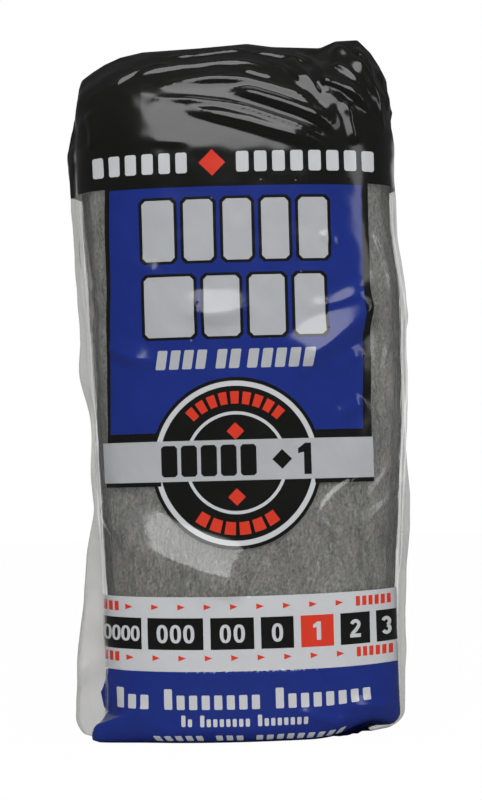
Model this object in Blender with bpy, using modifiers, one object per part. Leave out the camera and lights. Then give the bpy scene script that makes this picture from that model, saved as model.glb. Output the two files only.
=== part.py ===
"""Clear printed film bag that holds a standing stack of steel wool pads.

The bag stands on its folded base. Its front faces -Y, +X is to the right of someone who
looks at the front, and the origin is at the middle of the underside. Sizes are in metres.

Every cross-section of the bag is a rounded block: the pads bend round the corners of the
stack, and the film follows them a small clearance further out. Loose film stands off both
sides as thin fins, and the top closes in a ridge that gathers into an ear at its right end.
"""

import math

import bmesh
import bpy
from mathutils import Vector

# Pads
PAD_COUNT = 12
PAD_WIDTH = 0.1034
PAD_THICKNESS = 0.0051
PAD_GAP = 0.0003
PAD_END_ROUNDING = 0.0018
STACK_TOP = 0.2020

# Bag
FILM_WALL = 0.0002
FILM_CLEARANCE = 0.0005
SHOULDER_HEIGHT = 0.1900
RIDGE_HALF_DEPTH = 0.0010
CORNER_EXPONENT = 2.6
BASE_TUCK = 0.0060
BASE_TUCK_RIGHT = 0.0045
BASE_ROUNDING = 0.0070
VENT_RADIUS = 0.0025
VENT_BELOW_BAND = 0.0055

# Heights of the printed fields, from the underside
BAND_TOP = 0.0250
STRIP_TOP = 0.0500
BAR_BOTTOM = 0.0860
BAR_TOP = 0.0995
TOP_BAND_BELOW_SHOULDER = 0.0065
PANEL_HALF_WIDTH = 0.0420
STRIP_HALF_WIDTH = 0.0480

# Shape of the sides: height, then how far the left and the right side of the stack lie
# outside (+) or inside (-) the middle pads' ends
SIDE_SWELL = (
    (0.000, -0.0071, -0.0036),
    (0.040, -0.0071, -0.0034),
    (0.075, -0.0060, -0.0009),
    (0.110, -0.0046, 0.0014),
    (0.148, -0.0028, 0.0016),
    (0.168, -0.0018, -0.0010),
    (SHOULDER_HEIGHT, -0.0008, -0.0012),
)

# Loose film: height, then how far the fin stands off the side of the bag
LEFT_FIN = (
    (0.000, 0.0085),
    (0.008, 0.0098),
    (0.028, 0.0092),
    (0.048, 0.0060),
    (0.060, 0.0050),
    (0.076, 0.0014),
    (0.104, 0.0006),
    (0.120, 0.0030),
    (0.146, 0.0022),
    (0.190, 0.0020),
)
RIGHT_FIN = (
    (0.000, 0.0010),
    (0.028, 0.0028),
    (0.060, 0.0024),
    (0.076, 0.0026),
    (0.096, 0.0004),
    (0.190, 0.0004),
)

# Ridge along the top: share of the way from the left side (-1) to the right side (1), then
# how far the ridge lies in from that line, and how far above the shoulder
RIDGE = (
    (-1.00, 0.0010, 0.0185),
    (-0.98, 0.0006, 0.0262),
    (-0.95, 0.0002, 0.0298),
    (-0.88, 0.0000, 0.0324),
    (-0.80, 0.0000, 0.0350),
    (-0.70, 0.0000, 0.0373),
    (-0.56, 0.0000, 0.0389),
    (-0.20, 0.0000, 0.0398),
    (0.10, 0.0000, 0.0409),
    (0.26, 0.0000, 0.0396),
    (0.56, 0.0000, 0.0388),
    (0.66, 0.0000, 0.0410),
    (0.80, 0.0000, 0.0412),
    (0.88, 0.0000, 0.0368),
    (0.94, 0.0000, 0.0316),
    (0.98, 0.0004, 0.0262),
    (1.00, 0.0008, 0.0180),
)

# Gathers of the top: start, bend and end as seen from the front (x, height above the
# shoulder), then height and half-width of the fold
GATHERS = (
    ((0.030, 0.034), (0.010, 0.040), (-0.022, 0.034), 0.0020, 0.0026),
    ((0.034, 0.029), (0.012, 0.032), (-0.030, 0.027), 0.0018, 0.0028),
    ((0.036, 0.020), (0.010, 0.026), (-0.026, 0.020), 0.0021, 0.0030),
    ((0.040, 0.011), (0.012, 0.019), (-0.024, 0.012), 0.0019, 0.0030),
    ((0.034, 0.037), (0.047, 0.024), (0.048, 0.004), 0.0018, 0.0026),
)

GATHER_STEPS = 16
GATHER_RELEASE = 0.0040

# Rows and columns of the meshes
BASE_ROWS = (0.0, 0.0009, 0.0029)
RIDGE_ROWS = 14
ROW_SPACING = 0.018
FIN_ANGLES = (0.0, 0.7, 2.0, 5.0)
COLUMN_STEP = 5.0
PAD_COLUMN_SHARES = (0.30, 0.55, 0.72, 0.83)
PAD_BOTTOM_ROWS = (0.0, 0.0028, 0.0085)

# Finishes of the film's printed fields: colour, roughness and alpha
FILM_FINISHES = {
    "clear film": ((0.86, 0.87, 0.86), 0.12, 0.25),
    "black print": ((0.010, 0.010, 0.011), 0.18, 1.0),
    "blue print": ((0.010, 0.030, 0.330), 0.20, 1.0),
    "white print": ((0.720, 0.740, 0.760), 0.25, 1.0),
}
FILM_FIELDS = list(FILM_FINISHES)

STACK_HALF_WIDTH = PAD_WIDTH / 2 + PAD_END_ROUNDING
PAD_PITCH = PAD_THICKNESS + PAD_GAP
STACK_HALF_DEPTH = (PAD_COUNT * PAD_PITCH - PAD_GAP) / 2
FILM_OFFSET = FILM_CLEARANCE + FILM_WALL
BAG_HALF_WIDTH = STACK_HALF_WIDTH + FILM_OFFSET
BAG_HALF_DEPTH = STACK_HALF_DEPTH + FILM_OFFSET
PANEL_TOP = SHOULDER_HEIGHT - TOP_BAND_BELOW_SHOULDER
VENT_HEIGHT = PANEL_TOP - VENT_BELOW_BAND
STACK_BOTTOM = FILM_WALL + FILM_CLEARANCE


def clear_scene():
    """Remove the objects that a new file starts with."""
    for thing in list(bpy.data.objects):
        bpy.data.objects.remove(thing, do_unlink=True)


def new_collection(name):
    """Return a new collection in the scene."""
    collection = bpy.data.collections.new(name)
    bpy.context.scene.collection.children.link(collection)
    return collection


def principled(name, color, roughness, metallic=0.0, alpha=1.0):
    """Return a material with one Principled shader."""
    material = bpy.data.materials.new(name)
    material.use_nodes = True
    shader = material.node_tree.nodes["Principled BSDF"]
    shader.inputs["Base Color"].default_value = (*color, 1.0)
    shader.inputs["Roughness"].default_value = roughness
    shader.inputs["Metallic"].default_value = metallic
    shader.inputs["Alpha"].default_value = alpha
    return material


def along(stations, place, column=1):
    """Read a line through stations at a place, held level past both ends."""
    if place <= stations[0][0]:
        return stations[0][column]
    for lower, upper in zip(stations, stations[1:]):
        if place <= upper[0]:
            share = (place - lower[0]) / (upper[0] - lower[0])
            return lower[column] + (upper[column] - lower[column]) * share
    return stations[-1][column]


def pinch(share):
    """Depth of the rounded section at a share of its half-width, 1 in the middle and 0 at the side."""
    return max(0.0, 1.0 - abs(share) ** CORNER_EXPONENT) ** (1.0 / CORNER_EXPONENT)


def side_half_width(side, height, offset):
    """Half-width of the section on one side (-1 left, 1 right) at a height."""
    return STACK_HALF_WIDTH + along(SIDE_SWELL, height, 1 if side < 0 else 2) + offset


def tuck(height, bottom, reach):
    """How far a section is drawn in above its bottom edge, where the base is folded under."""
    rise = min(1.0, max(0.0, (height - bottom) / BASE_ROUNDING))
    return reach * (1.0 - math.sqrt(1.0 - (1.0 - rise) ** 2))


def section_point(share_x, share_y, height, offset, drawn_in):
    """Point of a section from its shares of the half-width and half-depth."""
    side = -1.0 if share_x < 0 else 1.0
    half_width = side_half_width(side, height, offset) - drawn_in
    half_depth = STACK_HALF_DEPTH + offset - drawn_in
    return Vector((share_x * half_width, share_y * half_depth, height))


def angle_across(half_width):
    """Angle of the section, in degrees from its side, at which the film is this far from the middle."""
    return math.degrees(math.acos((half_width / BAG_HALF_WIDTH) ** (CORNER_EXPONENT / 2.0)))


def quarter_angles():
    """Angles of the columns from the side to the front: the fin's, then even ones between print edges."""
    angles = list(FIN_ANGLES[:-1])
    edges = (FIN_ANGLES[-1], angle_across(STRIP_HALF_WIDTH), angle_across(PANEL_HALF_WIDTH), 90.0)
    for lower, upper in zip(edges, edges[1:]):
        columns = max(1, round((upper - lower) / COLUMN_STEP))
        angles += [lower + (upper - lower) * column / columns for column in range(columns)]
    return angles


def column_shares():
    """Shares of width and depth for each column of film, once round from the right side."""
    shares = []
    power = 2.0 / CORNER_EXPONENT
    quarter = [math.radians(angle) for angle in quarter_angles()]
    half = quarter + [math.pi / 2] + [math.pi - angle for angle in reversed(quarter[1:])]
    for angle in half + [angle + math.pi for angle in half]:
        cosine = math.cos(angle)
        sine = math.sin(angle)
        share_x = math.copysign(abs(cosine) ** power, cosine)
        share_y = math.copysign(abs(sine) ** power, sine)
        if angle in (0.0, math.pi):
            share_y = 0.0
        shares.append((share_x, share_y))
    return shares


def fin_profile(share_y):
    """Share of the fin's reach at a column: all of it at the very side, none past the fin's root."""
    root = math.sin(math.radians(FIN_ANGLES[-1])) ** (2.0 / CORNER_EXPONENT)
    return max(0.0, 1.0 - abs(share_y) / root) ** 1.5


def bend_point(start, bend, end, t):
    """Point a share t of the way along the curve from start to end that is pulled towards bend."""
    weights = ((1.0 - t) ** 2, 2.0 * t * (1.0 - t), t * t)
    return [sum(w * p[axis] for w, p in zip(weights, (start, bend, end))) for axis in range(2)]


def gather_height(x, rise):
    """How far the gathered folds stand out at a place on the front of the top."""
    total = 0.0
    for start, bend, end, height, half_width in GATHERS:
        spots = []
        for step in range(GATHER_STEPS + 1):
            px, pz = bend_point(start, bend, end, step / GATHER_STEPS)
            spots.append((math.hypot(x - px, rise - pz), (step + 1) / (GATHER_STEPS + 2)))
        distance, share = min(spots)
        total += height * math.sin(math.pi * share) * math.exp(-((distance / half_width) ** 2))
    return total


def film_body_ring(height, shares):
    """Ring of film points round the bag at a height below the shoulder."""
    ring = []
    for share_x, share_y in shares:
        reach = BASE_TUCK + BASE_TUCK_RIGHT * max(0.0, share_x)
        point = section_point(share_x, share_y, height, FILM_OFFSET, tuck(height, 0.0, reach))
        fin = LEFT_FIN if share_x < 0 else RIGHT_FIN
        point.x += math.copysign(along(fin, height) * fin_profile(share_y), share_x)
        ring.append(point)
    return ring


def film_top_ring(turn, shoulder_ring, shares):
    """Ring of film points a share of the way (turn, 0 to 1) from the shoulder to the ridge."""
    ring = []
    depth_share = math.cos(turn * math.pi / 2)
    height_share = math.sin(turn * math.pi / 2)
    for base, (share_x, share_y) in zip(shoulder_ring, shares):
        inward = along(RIDGE, share_x, 1)
        rise = along(RIDGE, share_x, 2)
        slit = math.copysign(min(abs(base.y), RIDGE_HALF_DEPTH), base.y)
        y = base.y * depth_share + slit * (1.0 - depth_share)
        x = base.x - math.copysign(inward * (1.0 - depth_share), base.x)
        z = SHOULDER_HEIGHT + rise * height_share
        if share_y < 0.0:
            fold = gather_height(x, rise * height_share) * min(1.0, abs(y) / GATHER_RELEASE)
            slope = Vector((0.0, -1.0 - depth_share, height_share)).normalized()
            x, y, z = Vector((x, y, z)) + slope * fold
        ring.append(Vector((x, y, z)))
    return ring


def film_heights():
    """Heights of the body's rings: the rounding of the base, then rows between the printed fields."""
    heights = list(BASE_ROWS)
    edges = {BASE_ROUNDING, BAND_TOP, STRIP_TOP, BAR_BOTTOM, BAR_TOP, PANEL_TOP}
    edges |= {height for height, left, right in SIDE_SWELL if height > BASE_ROUNDING}
    edges = sorted(edges)
    for lower, upper in zip(edges, edges[1:]):
        rows = max(1, round((upper - lower) / ROW_SPACING))
        heights += [lower + (upper - lower) * row / rows for row in range(rows)]
    return heights + [edges[-1]]


def bridge(mesh, lower, upper):
    """Join two rings of vertices with a band of faces, pointing out."""
    count = len(lower)
    for index in range(count):
        following = (index + 1) % count
        mesh.faces.new((lower[index], lower[following], upper[following], upper[index]))


def film_field(center):
    """Printed field that a face of the film lies in, as its place in the bag's list of materials."""
    front = center.y < 0.0
    side = -1.0 if center.x < 0 else 1.0
    across = abs(center.x) * BAG_HALF_WIDTH / side_half_width(side, center.z, FILM_OFFSET)
    if center.z > PANEL_TOP:
        return FILM_FIELDS.index("black print")
    if front and center.z < BAND_TOP:
        return FILM_FIELDS.index("blue print")
    if front and center.z < STRIP_TOP and across < STRIP_HALF_WIDTH:
        return FILM_FIELDS.index("white print")
    if front and BAR_BOTTOM < center.z < BAR_TOP and across < PANEL_HALF_WIDTH:
        return FILM_FIELDS.index("white print")
    if front and BAR_TOP < center.z and across < PANEL_HALF_WIDTH:
        return FILM_FIELDS.index("blue print")
    return FILM_FIELDS.index("clear film")


def build_film_bag(collection, cutters):
    """Make the bag: a lofted skin, given its wall inwards, with a vent punched in the back."""
    shares = column_shares()
    rings = [film_body_ring(height, shares) for height in film_heights()]
    shoulder = rings[-1]
    for row in range(1, RIDGE_ROWS + 1):
        rings.append(film_top_ring(row / RIDGE_ROWS, shoulder, shares))

    mesh = bmesh.new()
    loops = [[mesh.verts.new(point) for point in ring] for ring in rings]
    for lower, upper in zip(loops, loops[1:]):
        bridge(mesh, lower, upper)
    mesh.faces.new(list(reversed(loops[0])))
    close_ridge(mesh, loops[-1])
    for face in mesh.faces:
        face.material_index = film_field(face.calc_center_median())
        face.smooth = True

    bag = add_object("film_bag", mesh, collection)
    for name, (color, roughness, alpha) in FILM_FINISHES.items():
        bag.data.materials.append(principled(name, color, roughness, alpha=alpha))

    wall = bag.modifiers.new("wall", "SOLIDIFY")
    wall.thickness = FILM_WALL
    wall.offset = -1.0
    wall.use_even_offset = True

    vent = bag.modifiers.new("vent", "BOOLEAN")
    vent.operation = "DIFFERENCE"
    vent.solver = "EXACT"
    vent.object = vent_cutter(cutters)
    return bag


def close_ridge(mesh, loop):
    """Close the slit at the top by joining each front point to the one behind it."""
    count = len(loop)
    half = count // 2
    mesh.faces.new((loop[0], loop[1], loop[count - 1]))
    for index in range(1, half - 1):
        mesh.faces.new((loop[index], loop[index + 1], loop[count - index - 1], loop[count - index]))
    mesh.faces.new((loop[half - 1], loop[half], loop[half + 1]))


def vent_cutter(cutters):
    """Cylinder through the back wall, high up and in the middle."""
    mesh = bmesh.new()
    bmesh.ops.create_cone(
        mesh, cap_ends=True, segments=20, radius1=VENT_RADIUS, radius2=VENT_RADIUS, depth=4 * FILM_CLEARANCE
    )
    cutter = add_object("vent_cutter", mesh, cutters)
    cutter.rotation_euler = (math.pi / 2, 0.0, 0.0)
    cutter.location = (0.0, BAG_HALF_DEPTH, VENT_HEIGHT)
    cutter.hide_render = True
    cutter.display_type = "WIRE"
    return cutter


def pad_half_share(center):
    """Share of the half-width where a bent pad ends, so that it measures PAD_WIDTH along its bend."""
    steps = 400
    length = 0.0
    previous = Vector((0.0, center))
    for step in range(1, steps + 1):
        share = step / steps
        point = Vector((share * STACK_HALF_WIDTH, center * pinch(share)))
        length += (point - previous).length
        previous = point
        if length >= PAD_WIDTH / 2:
            return share
    return 1.0


def pad_outline(center):
    """Outline of one pad in shares of half-width and half-depth, front side then back side."""
    end = pad_half_share(center)
    half = [share for share in PAD_COLUMN_SHARES if share < end] + [end]
    front = []
    back = []
    for share_x in [-share for share in reversed(half)] + half:
        middle = center * pinch(share_x)
        thickness = PAD_PITCH * pinch(share_x) - PAD_GAP
        front.append((share_x, (middle - thickness / 2) / STACK_HALF_DEPTH))
        back.append((share_x, (middle + thickness / 2) / STACK_HALF_DEPTH))
    rounding = PAD_END_ROUNDING / 2 / STACK_HALF_WIDTH
    tip = center * pinch(end) / STACK_HALF_DEPTH
    right = [(end + rounding, tip)]
    left = [(-end - rounding, tip)]
    return front + right + list(reversed(back)) + left


def stack_point(share_x, share_y, height):
    """Point on a pad: above the shoulder it is drawn in with the rounded top of the bag."""
    drawn_in = tuck(height, STACK_BOTTOM, BASE_TUCK + BASE_TUCK_RIGHT)
    point = section_point(share_x, share_y, height, 0.0, drawn_in)
    over = max(0.0, height - SHOULDER_HEIGHT) / along(RIDGE, 0.0, 2)
    scale = math.sqrt(1.0 - over * over)
    return Vector((point.x * scale, point.y * scale, height))


def build_pad(number, collection, material):
    """Make one pad, bent with its neighbours round the corners of the stack."""
    center = -STACK_HALF_DEPTH + (number + 0.5) * PAD_PITCH - PAD_GAP / 2
    outline = pad_outline(center)
    mesh = bmesh.new()
    heights = [STACK_BOTTOM + row for row in PAD_BOTTOM_ROWS]
    heights += [height for height, left, right in SIDE_SWELL if height > heights[-1]]
    heights += [(SHOULDER_HEIGHT + STACK_TOP) / 2, STACK_TOP]
    loops = []
    for height in heights:
        loops.append([mesh.verts.new(stack_point(share_x, share_y, height)) for share_x, share_y in outline])
    for lower, upper in zip(loops, loops[1:]):
        bridge(mesh, lower, upper)
    mesh.faces.new(list(reversed(loops[0])))
    mesh.faces.new(loops[-1])
    for face in mesh.faces:
        face.smooth = True
    pad = add_object(f"wool_pad_{number + 1:02d}", mesh, collection)
    pad.data.materials.append(material)
    return pad


def add_object(name, mesh, collection):
    """Turn a bmesh into an object in a collection."""
    data = bpy.data.meshes.new(name)
    mesh.to_mesh(data)
    mesh.free()
    thing = bpy.data.objects.new(name, data)
    collection.objects.link(thing)
    return thing


def center_on_origin(things, bag):
    """Slide everything so that the bag's box is centred on the origin."""
    xs = [vertex.co.x for vertex in bag.data.vertices]
    ys = [vertex.co.y for vertex in bag.data.vertices]
    slide = Vector((-(min(xs) + max(xs)) / 2, -(min(ys) + max(ys)) / 2, 0.0))
    for thing in things:
        thing.location += slide


def main():
    """Build the bag and its pads."""
    clear_scene()
    parts = new_collection("steel_wool_pads_in_bag")
    cutters = new_collection("cutters")
    wool = principled("steel wool", (0.20, 0.20, 0.185), 0.45, metallic=0.85)
    bag = build_film_bag(parts, cutters)
    for number in range(PAD_COUNT):
        build_pad(number, parts, wool)
    center_on_origin(list(parts.objects) + list(cutters.objects), bag)


main()
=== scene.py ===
"""Looks of a clear printed film bag that holds a standing stack of steel wool pads.

The film is one sheet, cut along the outlines of its printed fields, then bent round the
stack and creased. The pads are felted solids with loose steel fibres on every open side.
"""

import logging
import math
from dataclasses import dataclass, replace
from enum import Enum
from typing import Any, Dict, List, Optional, Sequence, Tuple, Union

import bmesh
import bpy
import numpy as np
from mathutils import Matrix, Vector
from mathutils.geometry import delaunay_2d_cdt


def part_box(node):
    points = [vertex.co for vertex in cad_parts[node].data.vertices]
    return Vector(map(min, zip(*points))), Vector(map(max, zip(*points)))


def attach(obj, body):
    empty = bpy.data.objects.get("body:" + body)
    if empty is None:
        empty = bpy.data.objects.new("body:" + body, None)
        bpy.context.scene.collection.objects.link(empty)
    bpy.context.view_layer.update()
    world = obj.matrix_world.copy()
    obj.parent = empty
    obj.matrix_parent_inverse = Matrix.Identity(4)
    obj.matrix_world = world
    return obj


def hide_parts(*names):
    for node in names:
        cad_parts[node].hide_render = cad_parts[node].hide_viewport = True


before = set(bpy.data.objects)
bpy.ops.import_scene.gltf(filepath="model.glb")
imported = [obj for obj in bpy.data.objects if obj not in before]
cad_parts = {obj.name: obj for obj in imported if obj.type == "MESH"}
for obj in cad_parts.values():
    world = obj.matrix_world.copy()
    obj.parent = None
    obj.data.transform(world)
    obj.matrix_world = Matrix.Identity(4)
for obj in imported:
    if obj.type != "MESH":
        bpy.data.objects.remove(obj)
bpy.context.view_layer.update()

MM = 0.001
BODY = "root"
LOG = logging.getLogger("steel_wool_bag")

Point2 = Tuple[float, float]
Color = Tuple[float, float, float]
Station = Tuple[float, ...]
Outline = Tuple[Point2, ...]
Face = Tuple[int, ...]
Value = Union[float, "Link"]

WHITE: Tuple[float, ...] = (1.0, 1.0, 1.0, 1.0)
CREASE_SAMPLES = 97
CREASE_REACH = 3.5
OVAL_POINTS = 28
# Distance between the rows of a triangular lattice, as a share of its step
ROW_SHARE = 0.866


class Link:
    """One output of a shader node, on which arithmetic adds Math nodes."""

    def __init__(self, graph: "Graph", socket: Any) -> None:
        """Keep the graph and the socket.

        Args:
            graph: The graph that the socket belongs to.
            socket: The output socket.
        """
        self.graph = graph
        self.socket = socket

    def math(self, operation: str, *others: Value) -> "Link":
        """Put this value through a Math node.

        Args:
            operation: Blender's name of the Math operation.
            others: The second and third values.

        Returns:
            The node's output.
        """
        return self.graph.arithmetic(operation, self, *others)

    def __add__(self, other: Value) -> "Link":
        """Add."""
        return self.math("ADD", other)

    __radd__ = __add__

    def __sub__(self, other: Value) -> "Link":
        """Subtract."""
        return self.math("SUBTRACT", other)

    def __rsub__(self, other: float) -> "Link":
        """Subtract from a number."""
        return self.graph.arithmetic("SUBTRACT", other, self)

    def __mul__(self, other: Value) -> "Link":
        """Multiply."""
        return self.math("MULTIPLY", other)

    __rmul__ = __mul__

    def clamp(self, low: float = 0.0, high: float = 1.0) -> "Link":
        """Hold between two limits."""
        return self.math("MAXIMUM", low).math("MINIMUM", high)


class Graph:
    """Node tree of a material or a world, emptied and ready to be wired."""

    def __init__(self, owner: Union[bpy.types.Material, bpy.types.World]) -> None:
        """Empty the node tree of its owner.

        Args:
            owner: The material or the world.
        """
        self.owner = owner
        owner.use_nodes = True
        self.tree = owner.node_tree
        self.tree.nodes.clear()

    @classmethod
    def of_material(cls, name: str) -> "Graph":
        """Graph of a new material of that name."""
        return cls(bpy.data.materials.new(name))

    def node(
        self,
        kind: str,
        settings: Optional[Dict[str, Any]] = None,
        inputs: Optional[Dict[Union[str, int], Any]] = None,
        outlet: Union[str, int] = 0,
    ) -> Link:
        """Add a node, set it up and wire it.

        Args:
            kind: The node's type, without its ShaderNode prefix.
            settings: Its properties, set first.
            inputs: Values or links of its sockets, by name or place.
            outlet: The output that is returned.

        Returns:
            The chosen output.
        """
        added = self.tree.nodes.new("ShaderNode" + kind)
        for key, value in (settings or {}).items():
            setattr(added, key, value)
        for key, value in (inputs or {}).items():
            if isinstance(value, Link):
                self.tree.links.new(value.socket, added.inputs[key])
            else:
                added.inputs[key].default_value = value
        return Link(self, added.outputs[outlet] if len(added.outputs) else None)

    def arithmetic(self, operation: str, *values: Value) -> Link:
        """Add a Math node.

        Args:
            operation: Blender's name of the operation.
            values: Numbers or links, in the node's order.

        Returns:
            The node's output.
        """
        return self.node("Math", {"operation": operation}, dict(enumerate(values)))

    def mix_color(self, factor: Value, first: Any, second: Any) -> Link:
        """Mix two colours.

        Args:
            factor: Share of the second colour.
            first: The first colour, as four numbers or a link.
            second: The second colour.

        Returns:
            The mixed colour.
        """
        return self.node("Mix", {"data_type": "RGBA"}, {0: factor, 6: first, 7: second}, 2)

    def mix_shader(self, factor: Value, first: Link, second: Link) -> Link:
        """Mix two shaders.

        Args:
            factor: Share of the second shader.
            first: The first shader.
            second: The second shader.

        Returns:
            The mixed shader.
        """
        return self.node("MixShader", {}, {0: factor, 1: first, 2: second})

    def noise(self, scale: Color, detail: float, turn: float, seed: float) -> Link:
        """Noise over the object, stretched by a scale for each axis.

        Args:
            scale: Repeats for each metre along X, Y and Z.
            detail: Octaves of the noise.
            turn: Turn about Y in radians.
            seed: Offset that makes one noise unlike another.

        Returns:
            The noise's value, from 0 to 1.
        """
        place = self.node("TexCoord", outlet="Object")
        turned = self.node("VectorRotate", {"rotation_type": "Y_AXIS"}, {"Vector": place, "Angle": turn})
        inputs = {"Vector": turned, "Scale": scale, "Location": (seed, seed, seed)}
        stretched = self.node("Mapping", {}, inputs)
        return self.node("TexNoise", {}, {"Vector": stretched, "Scale": 1.0, "Detail": detail})

    def bump(self, height: Link, distance: float, strength: float) -> Link:
        """Bump normal from a height.

        Args:
            height: The height, from 0 to 1.
            distance: Depth of the bump in metres.
            strength: Share of the bump that shows.

        Returns:
            The normal.
        """
        return self.node("Bump", {}, {"Height": height, "Distance": distance, "Strength": strength})

    def principled(self, **inputs: Any) -> Link:
        """Add a Principled shader, its sockets named with underscores for spaces."""
        named = {key.replace("_", " "): value for key, value in inputs.items()}
        return self.node("BsdfPrincipled", {}, named)

    def finish(self, surface: Link) -> bpy.types.Material:
        """Wire the shader to the output.

        Args:
            surface: The shader.

        Returns:
            The finished material.
        """
        self.node("OutputMaterial", {}, {"Surface": surface})
        return self.owner


class Ink(Enum):
    """What a field of the film carries, in the order of the film's material slots."""

    CLEAR = 0
    BLACK = 1
    BLUE = 2
    SILVER = 3
    WHITE = 4
    RED = 5
    FROST = 6
    HOLE = 7


@dataclass(frozen=True)
class InkFinish:
    """Opaque ink under the film's gloss."""

    name: str
    color: Color
    deep: Color
    roughness: float = 0.17
    gloss_swing: float = 0.10
    bump_depth: float = 0.00025
    bump_strength: float = 0.35
    coat: float = 0.9
    coat_roughness: float = 0.15

    def material(self) -> bpy.types.Material:
        """Make the ink's material, a little uneven in colour and gloss."""
        graph = Graph.of_material(self.name)
        uneven = graph.noise((160.0, 160.0, 90.0), 4.0, 0.5, 3.0)
        fine = graph.noise((900.0, 900.0, 900.0), 2.0, 0.0, 7.0)
        color = graph.mix_color(uneven, (*self.deep, 1.0), (*self.color, 1.0))
        gloss = (self.roughness + self.gloss_swing * (fine - 0.5)).clamp(0.05, 0.6)
        surface = graph.principled(
            Base_Color=color,
            Roughness=gloss,
            Normal=graph.bump(uneven, self.bump_depth, self.bump_strength),
            Coat_Weight=self.coat,
            Coat_Roughness=self.coat_roughness,
            Specular_IOR_Level=0.4,
        )
        return graph.finish(surface)


@dataclass(frozen=True)
class ClearFinish:
    """Thin clear film: mostly see-through, with a faint milky haze and a mirror-like gloss."""

    name: str = "clear film"
    haze: float = 0.05
    haze_swing: float = 0.08
    milk: Color = (0.80, 0.81, 0.80)
    gloss_ior: float = 1.5
    layers: float = 2.0
    most_shine: float = 0.34
    polish: float = 0.15
    milk_roughness: float = 0.6
    bump_depth: float = 0.00030
    bump_strength: float = 0.25
    clear_share: float = 0.45

    def material(self) -> bpy.types.Material:
        """Make the film's material."""
        graph = Graph.of_material(self.name)
        streaks = graph.noise((70.0, 70.0, 45.0), 4.0, 0.6, 1.0)
        crinkle = graph.noise((260.0, 260.0, 150.0), 3.0, -0.5, 5.0)
        normal = graph.bump(crinkle, self.bump_depth, self.bump_strength)
        color = (*self.milk, 1.0)
        milk = graph.principled(Base_Color=color, Roughness=self.milk_roughness, Specular_IOR_Level=0.0)
        mirror = graph.principled(Base_Color=WHITE, Metallic=1.0, Roughness=self.polish, Normal=normal)
        haze = (self.haze + self.haze_swing * ((streaks - self.clear_share) * 2.0).clamp()).clamp()
        film = graph.mix_shader(haze, graph.node("BsdfTransparent"), milk)
        fresnel = graph.node("Fresnel", {}, {"IOR": self.gloss_ior, "Normal": normal})
        shine = (fresnel * self.layers).clamp(0.0, self.most_shine)
        return graph.finish(graph.mix_shader(shine, film, mirror))


@dataclass(frozen=True)
class WoolFinish:
    """Matted steel fibres, streaked along the pad."""

    name: str = "felted steel wool"
    dark: Color = (0.105, 0.103, 0.090)
    light: Color = (0.415, 0.409, 0.374)
    dark_below: float = 0.37
    contrast: float = 3.6
    metallic: float = 0.20
    roughness: float = 0.62
    bump_depth: float = 0.0012
    bump_strength: float = 0.9

    def material(self) -> bpy.types.Material:
        """Make the wool's material."""
        graph = Graph.of_material(self.name)
        streaks = graph.noise((1300.0, 1300.0, 520.0), 4.0, 0.10, 2.0)
        cross = graph.noise((520.0, 520.0, 1300.0), 3.0, 0.8, 4.0)
        curl = graph.noise((1150.0, 1150.0, 950.0), 5.0, -0.5, 6.0)
        cloud = graph.noise((90.0, 90.0, 55.0), 4.0, 0.3, 8.0)
        felt = (streaks * 0.38 + cross * 0.22 + curl * 0.40 + (cloud - 0.5) * 0.22).clamp()
        share = ((felt - self.dark_below) * self.contrast).clamp()
        surface = graph.principled(
            Base_Color=graph.mix_color(share, (*self.dark, 1.0), (*self.light, 1.0)),
            Metallic=self.metallic,
            Roughness=self.roughness - 0.20 * share,
            Normal=graph.bump(felt, self.bump_depth, self.bump_strength),
        )
        return graph.finish(surface)


@dataclass(frozen=True)
class FibreFinish:
    """Single bright steel fibres."""

    name: str = "loose steel fibres"
    dull: Color = (0.20, 0.20, 0.18)
    bright: Color = (0.62, 0.62, 0.58)
    metallic: float = 0.8
    roughness: float = 0.34

    def material(self) -> bpy.types.Material:
        """Make the fibres' material."""
        graph = Graph.of_material(self.name)
        vary = graph.noise((400.0, 400.0, 160.0), 2.0, 0.0, 9.0)
        share = ((vary - 0.35) * 3.0).clamp()
        color = graph.mix_color(share, (*self.dull, 1.0), (*self.bright, 1.0))
        rough = self.roughness + 0.15 * vary
        return graph.finish(graph.principled(Base_Color=color, Metallic=self.metallic, Roughness=rough))


class Profile:
    """Smooth curve through stations, level past both ends."""

    samples: int = 4
    tail: int = 8

    def __init__(self, stations: Sequence[Station], column: int, blur: float) -> None:
        """Sample and smooth the stations.

        Args:
            stations: Place first, then the values.
            column: Which value is read.
            blur: Half-width of the smoothing, in the stations' own unit.
        """
        places = [station[0] for station in stations]
        step = blur / self.samples
        self.places = np.arange(places[0] - 4 * blur, places[-1] + 4 * blur, step)
        sharp = np.interp(self.places, places, [station[column] for station in stations])
        offsets = np.arange(-self.tail, self.tail + 1) * step
        weights = np.exp(-((offsets / blur) ** 2) * 2.0)
        padded = np.pad(sharp, self.tail, mode="edge")
        self.values = np.convolve(padded, weights / weights.sum(), mode="valid")

    def at(self, places: np.ndarray) -> np.ndarray:
        """Read the curve at places."""
        return np.interp(places, self.places, self.values)


def linked(name: str, data: Any) -> bpy.types.Object:
    """New object of that name in the scene, with its mesh, light or camera."""
    made = bpy.data.objects.new(name, data)
    bpy.context.scene.collection.objects.link(made)
    return made


def signed_power(values: np.ndarray, power: float) -> np.ndarray:
    """Power of each value's size, with its sign kept."""
    return np.sign(values) * np.abs(values) ** power


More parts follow.
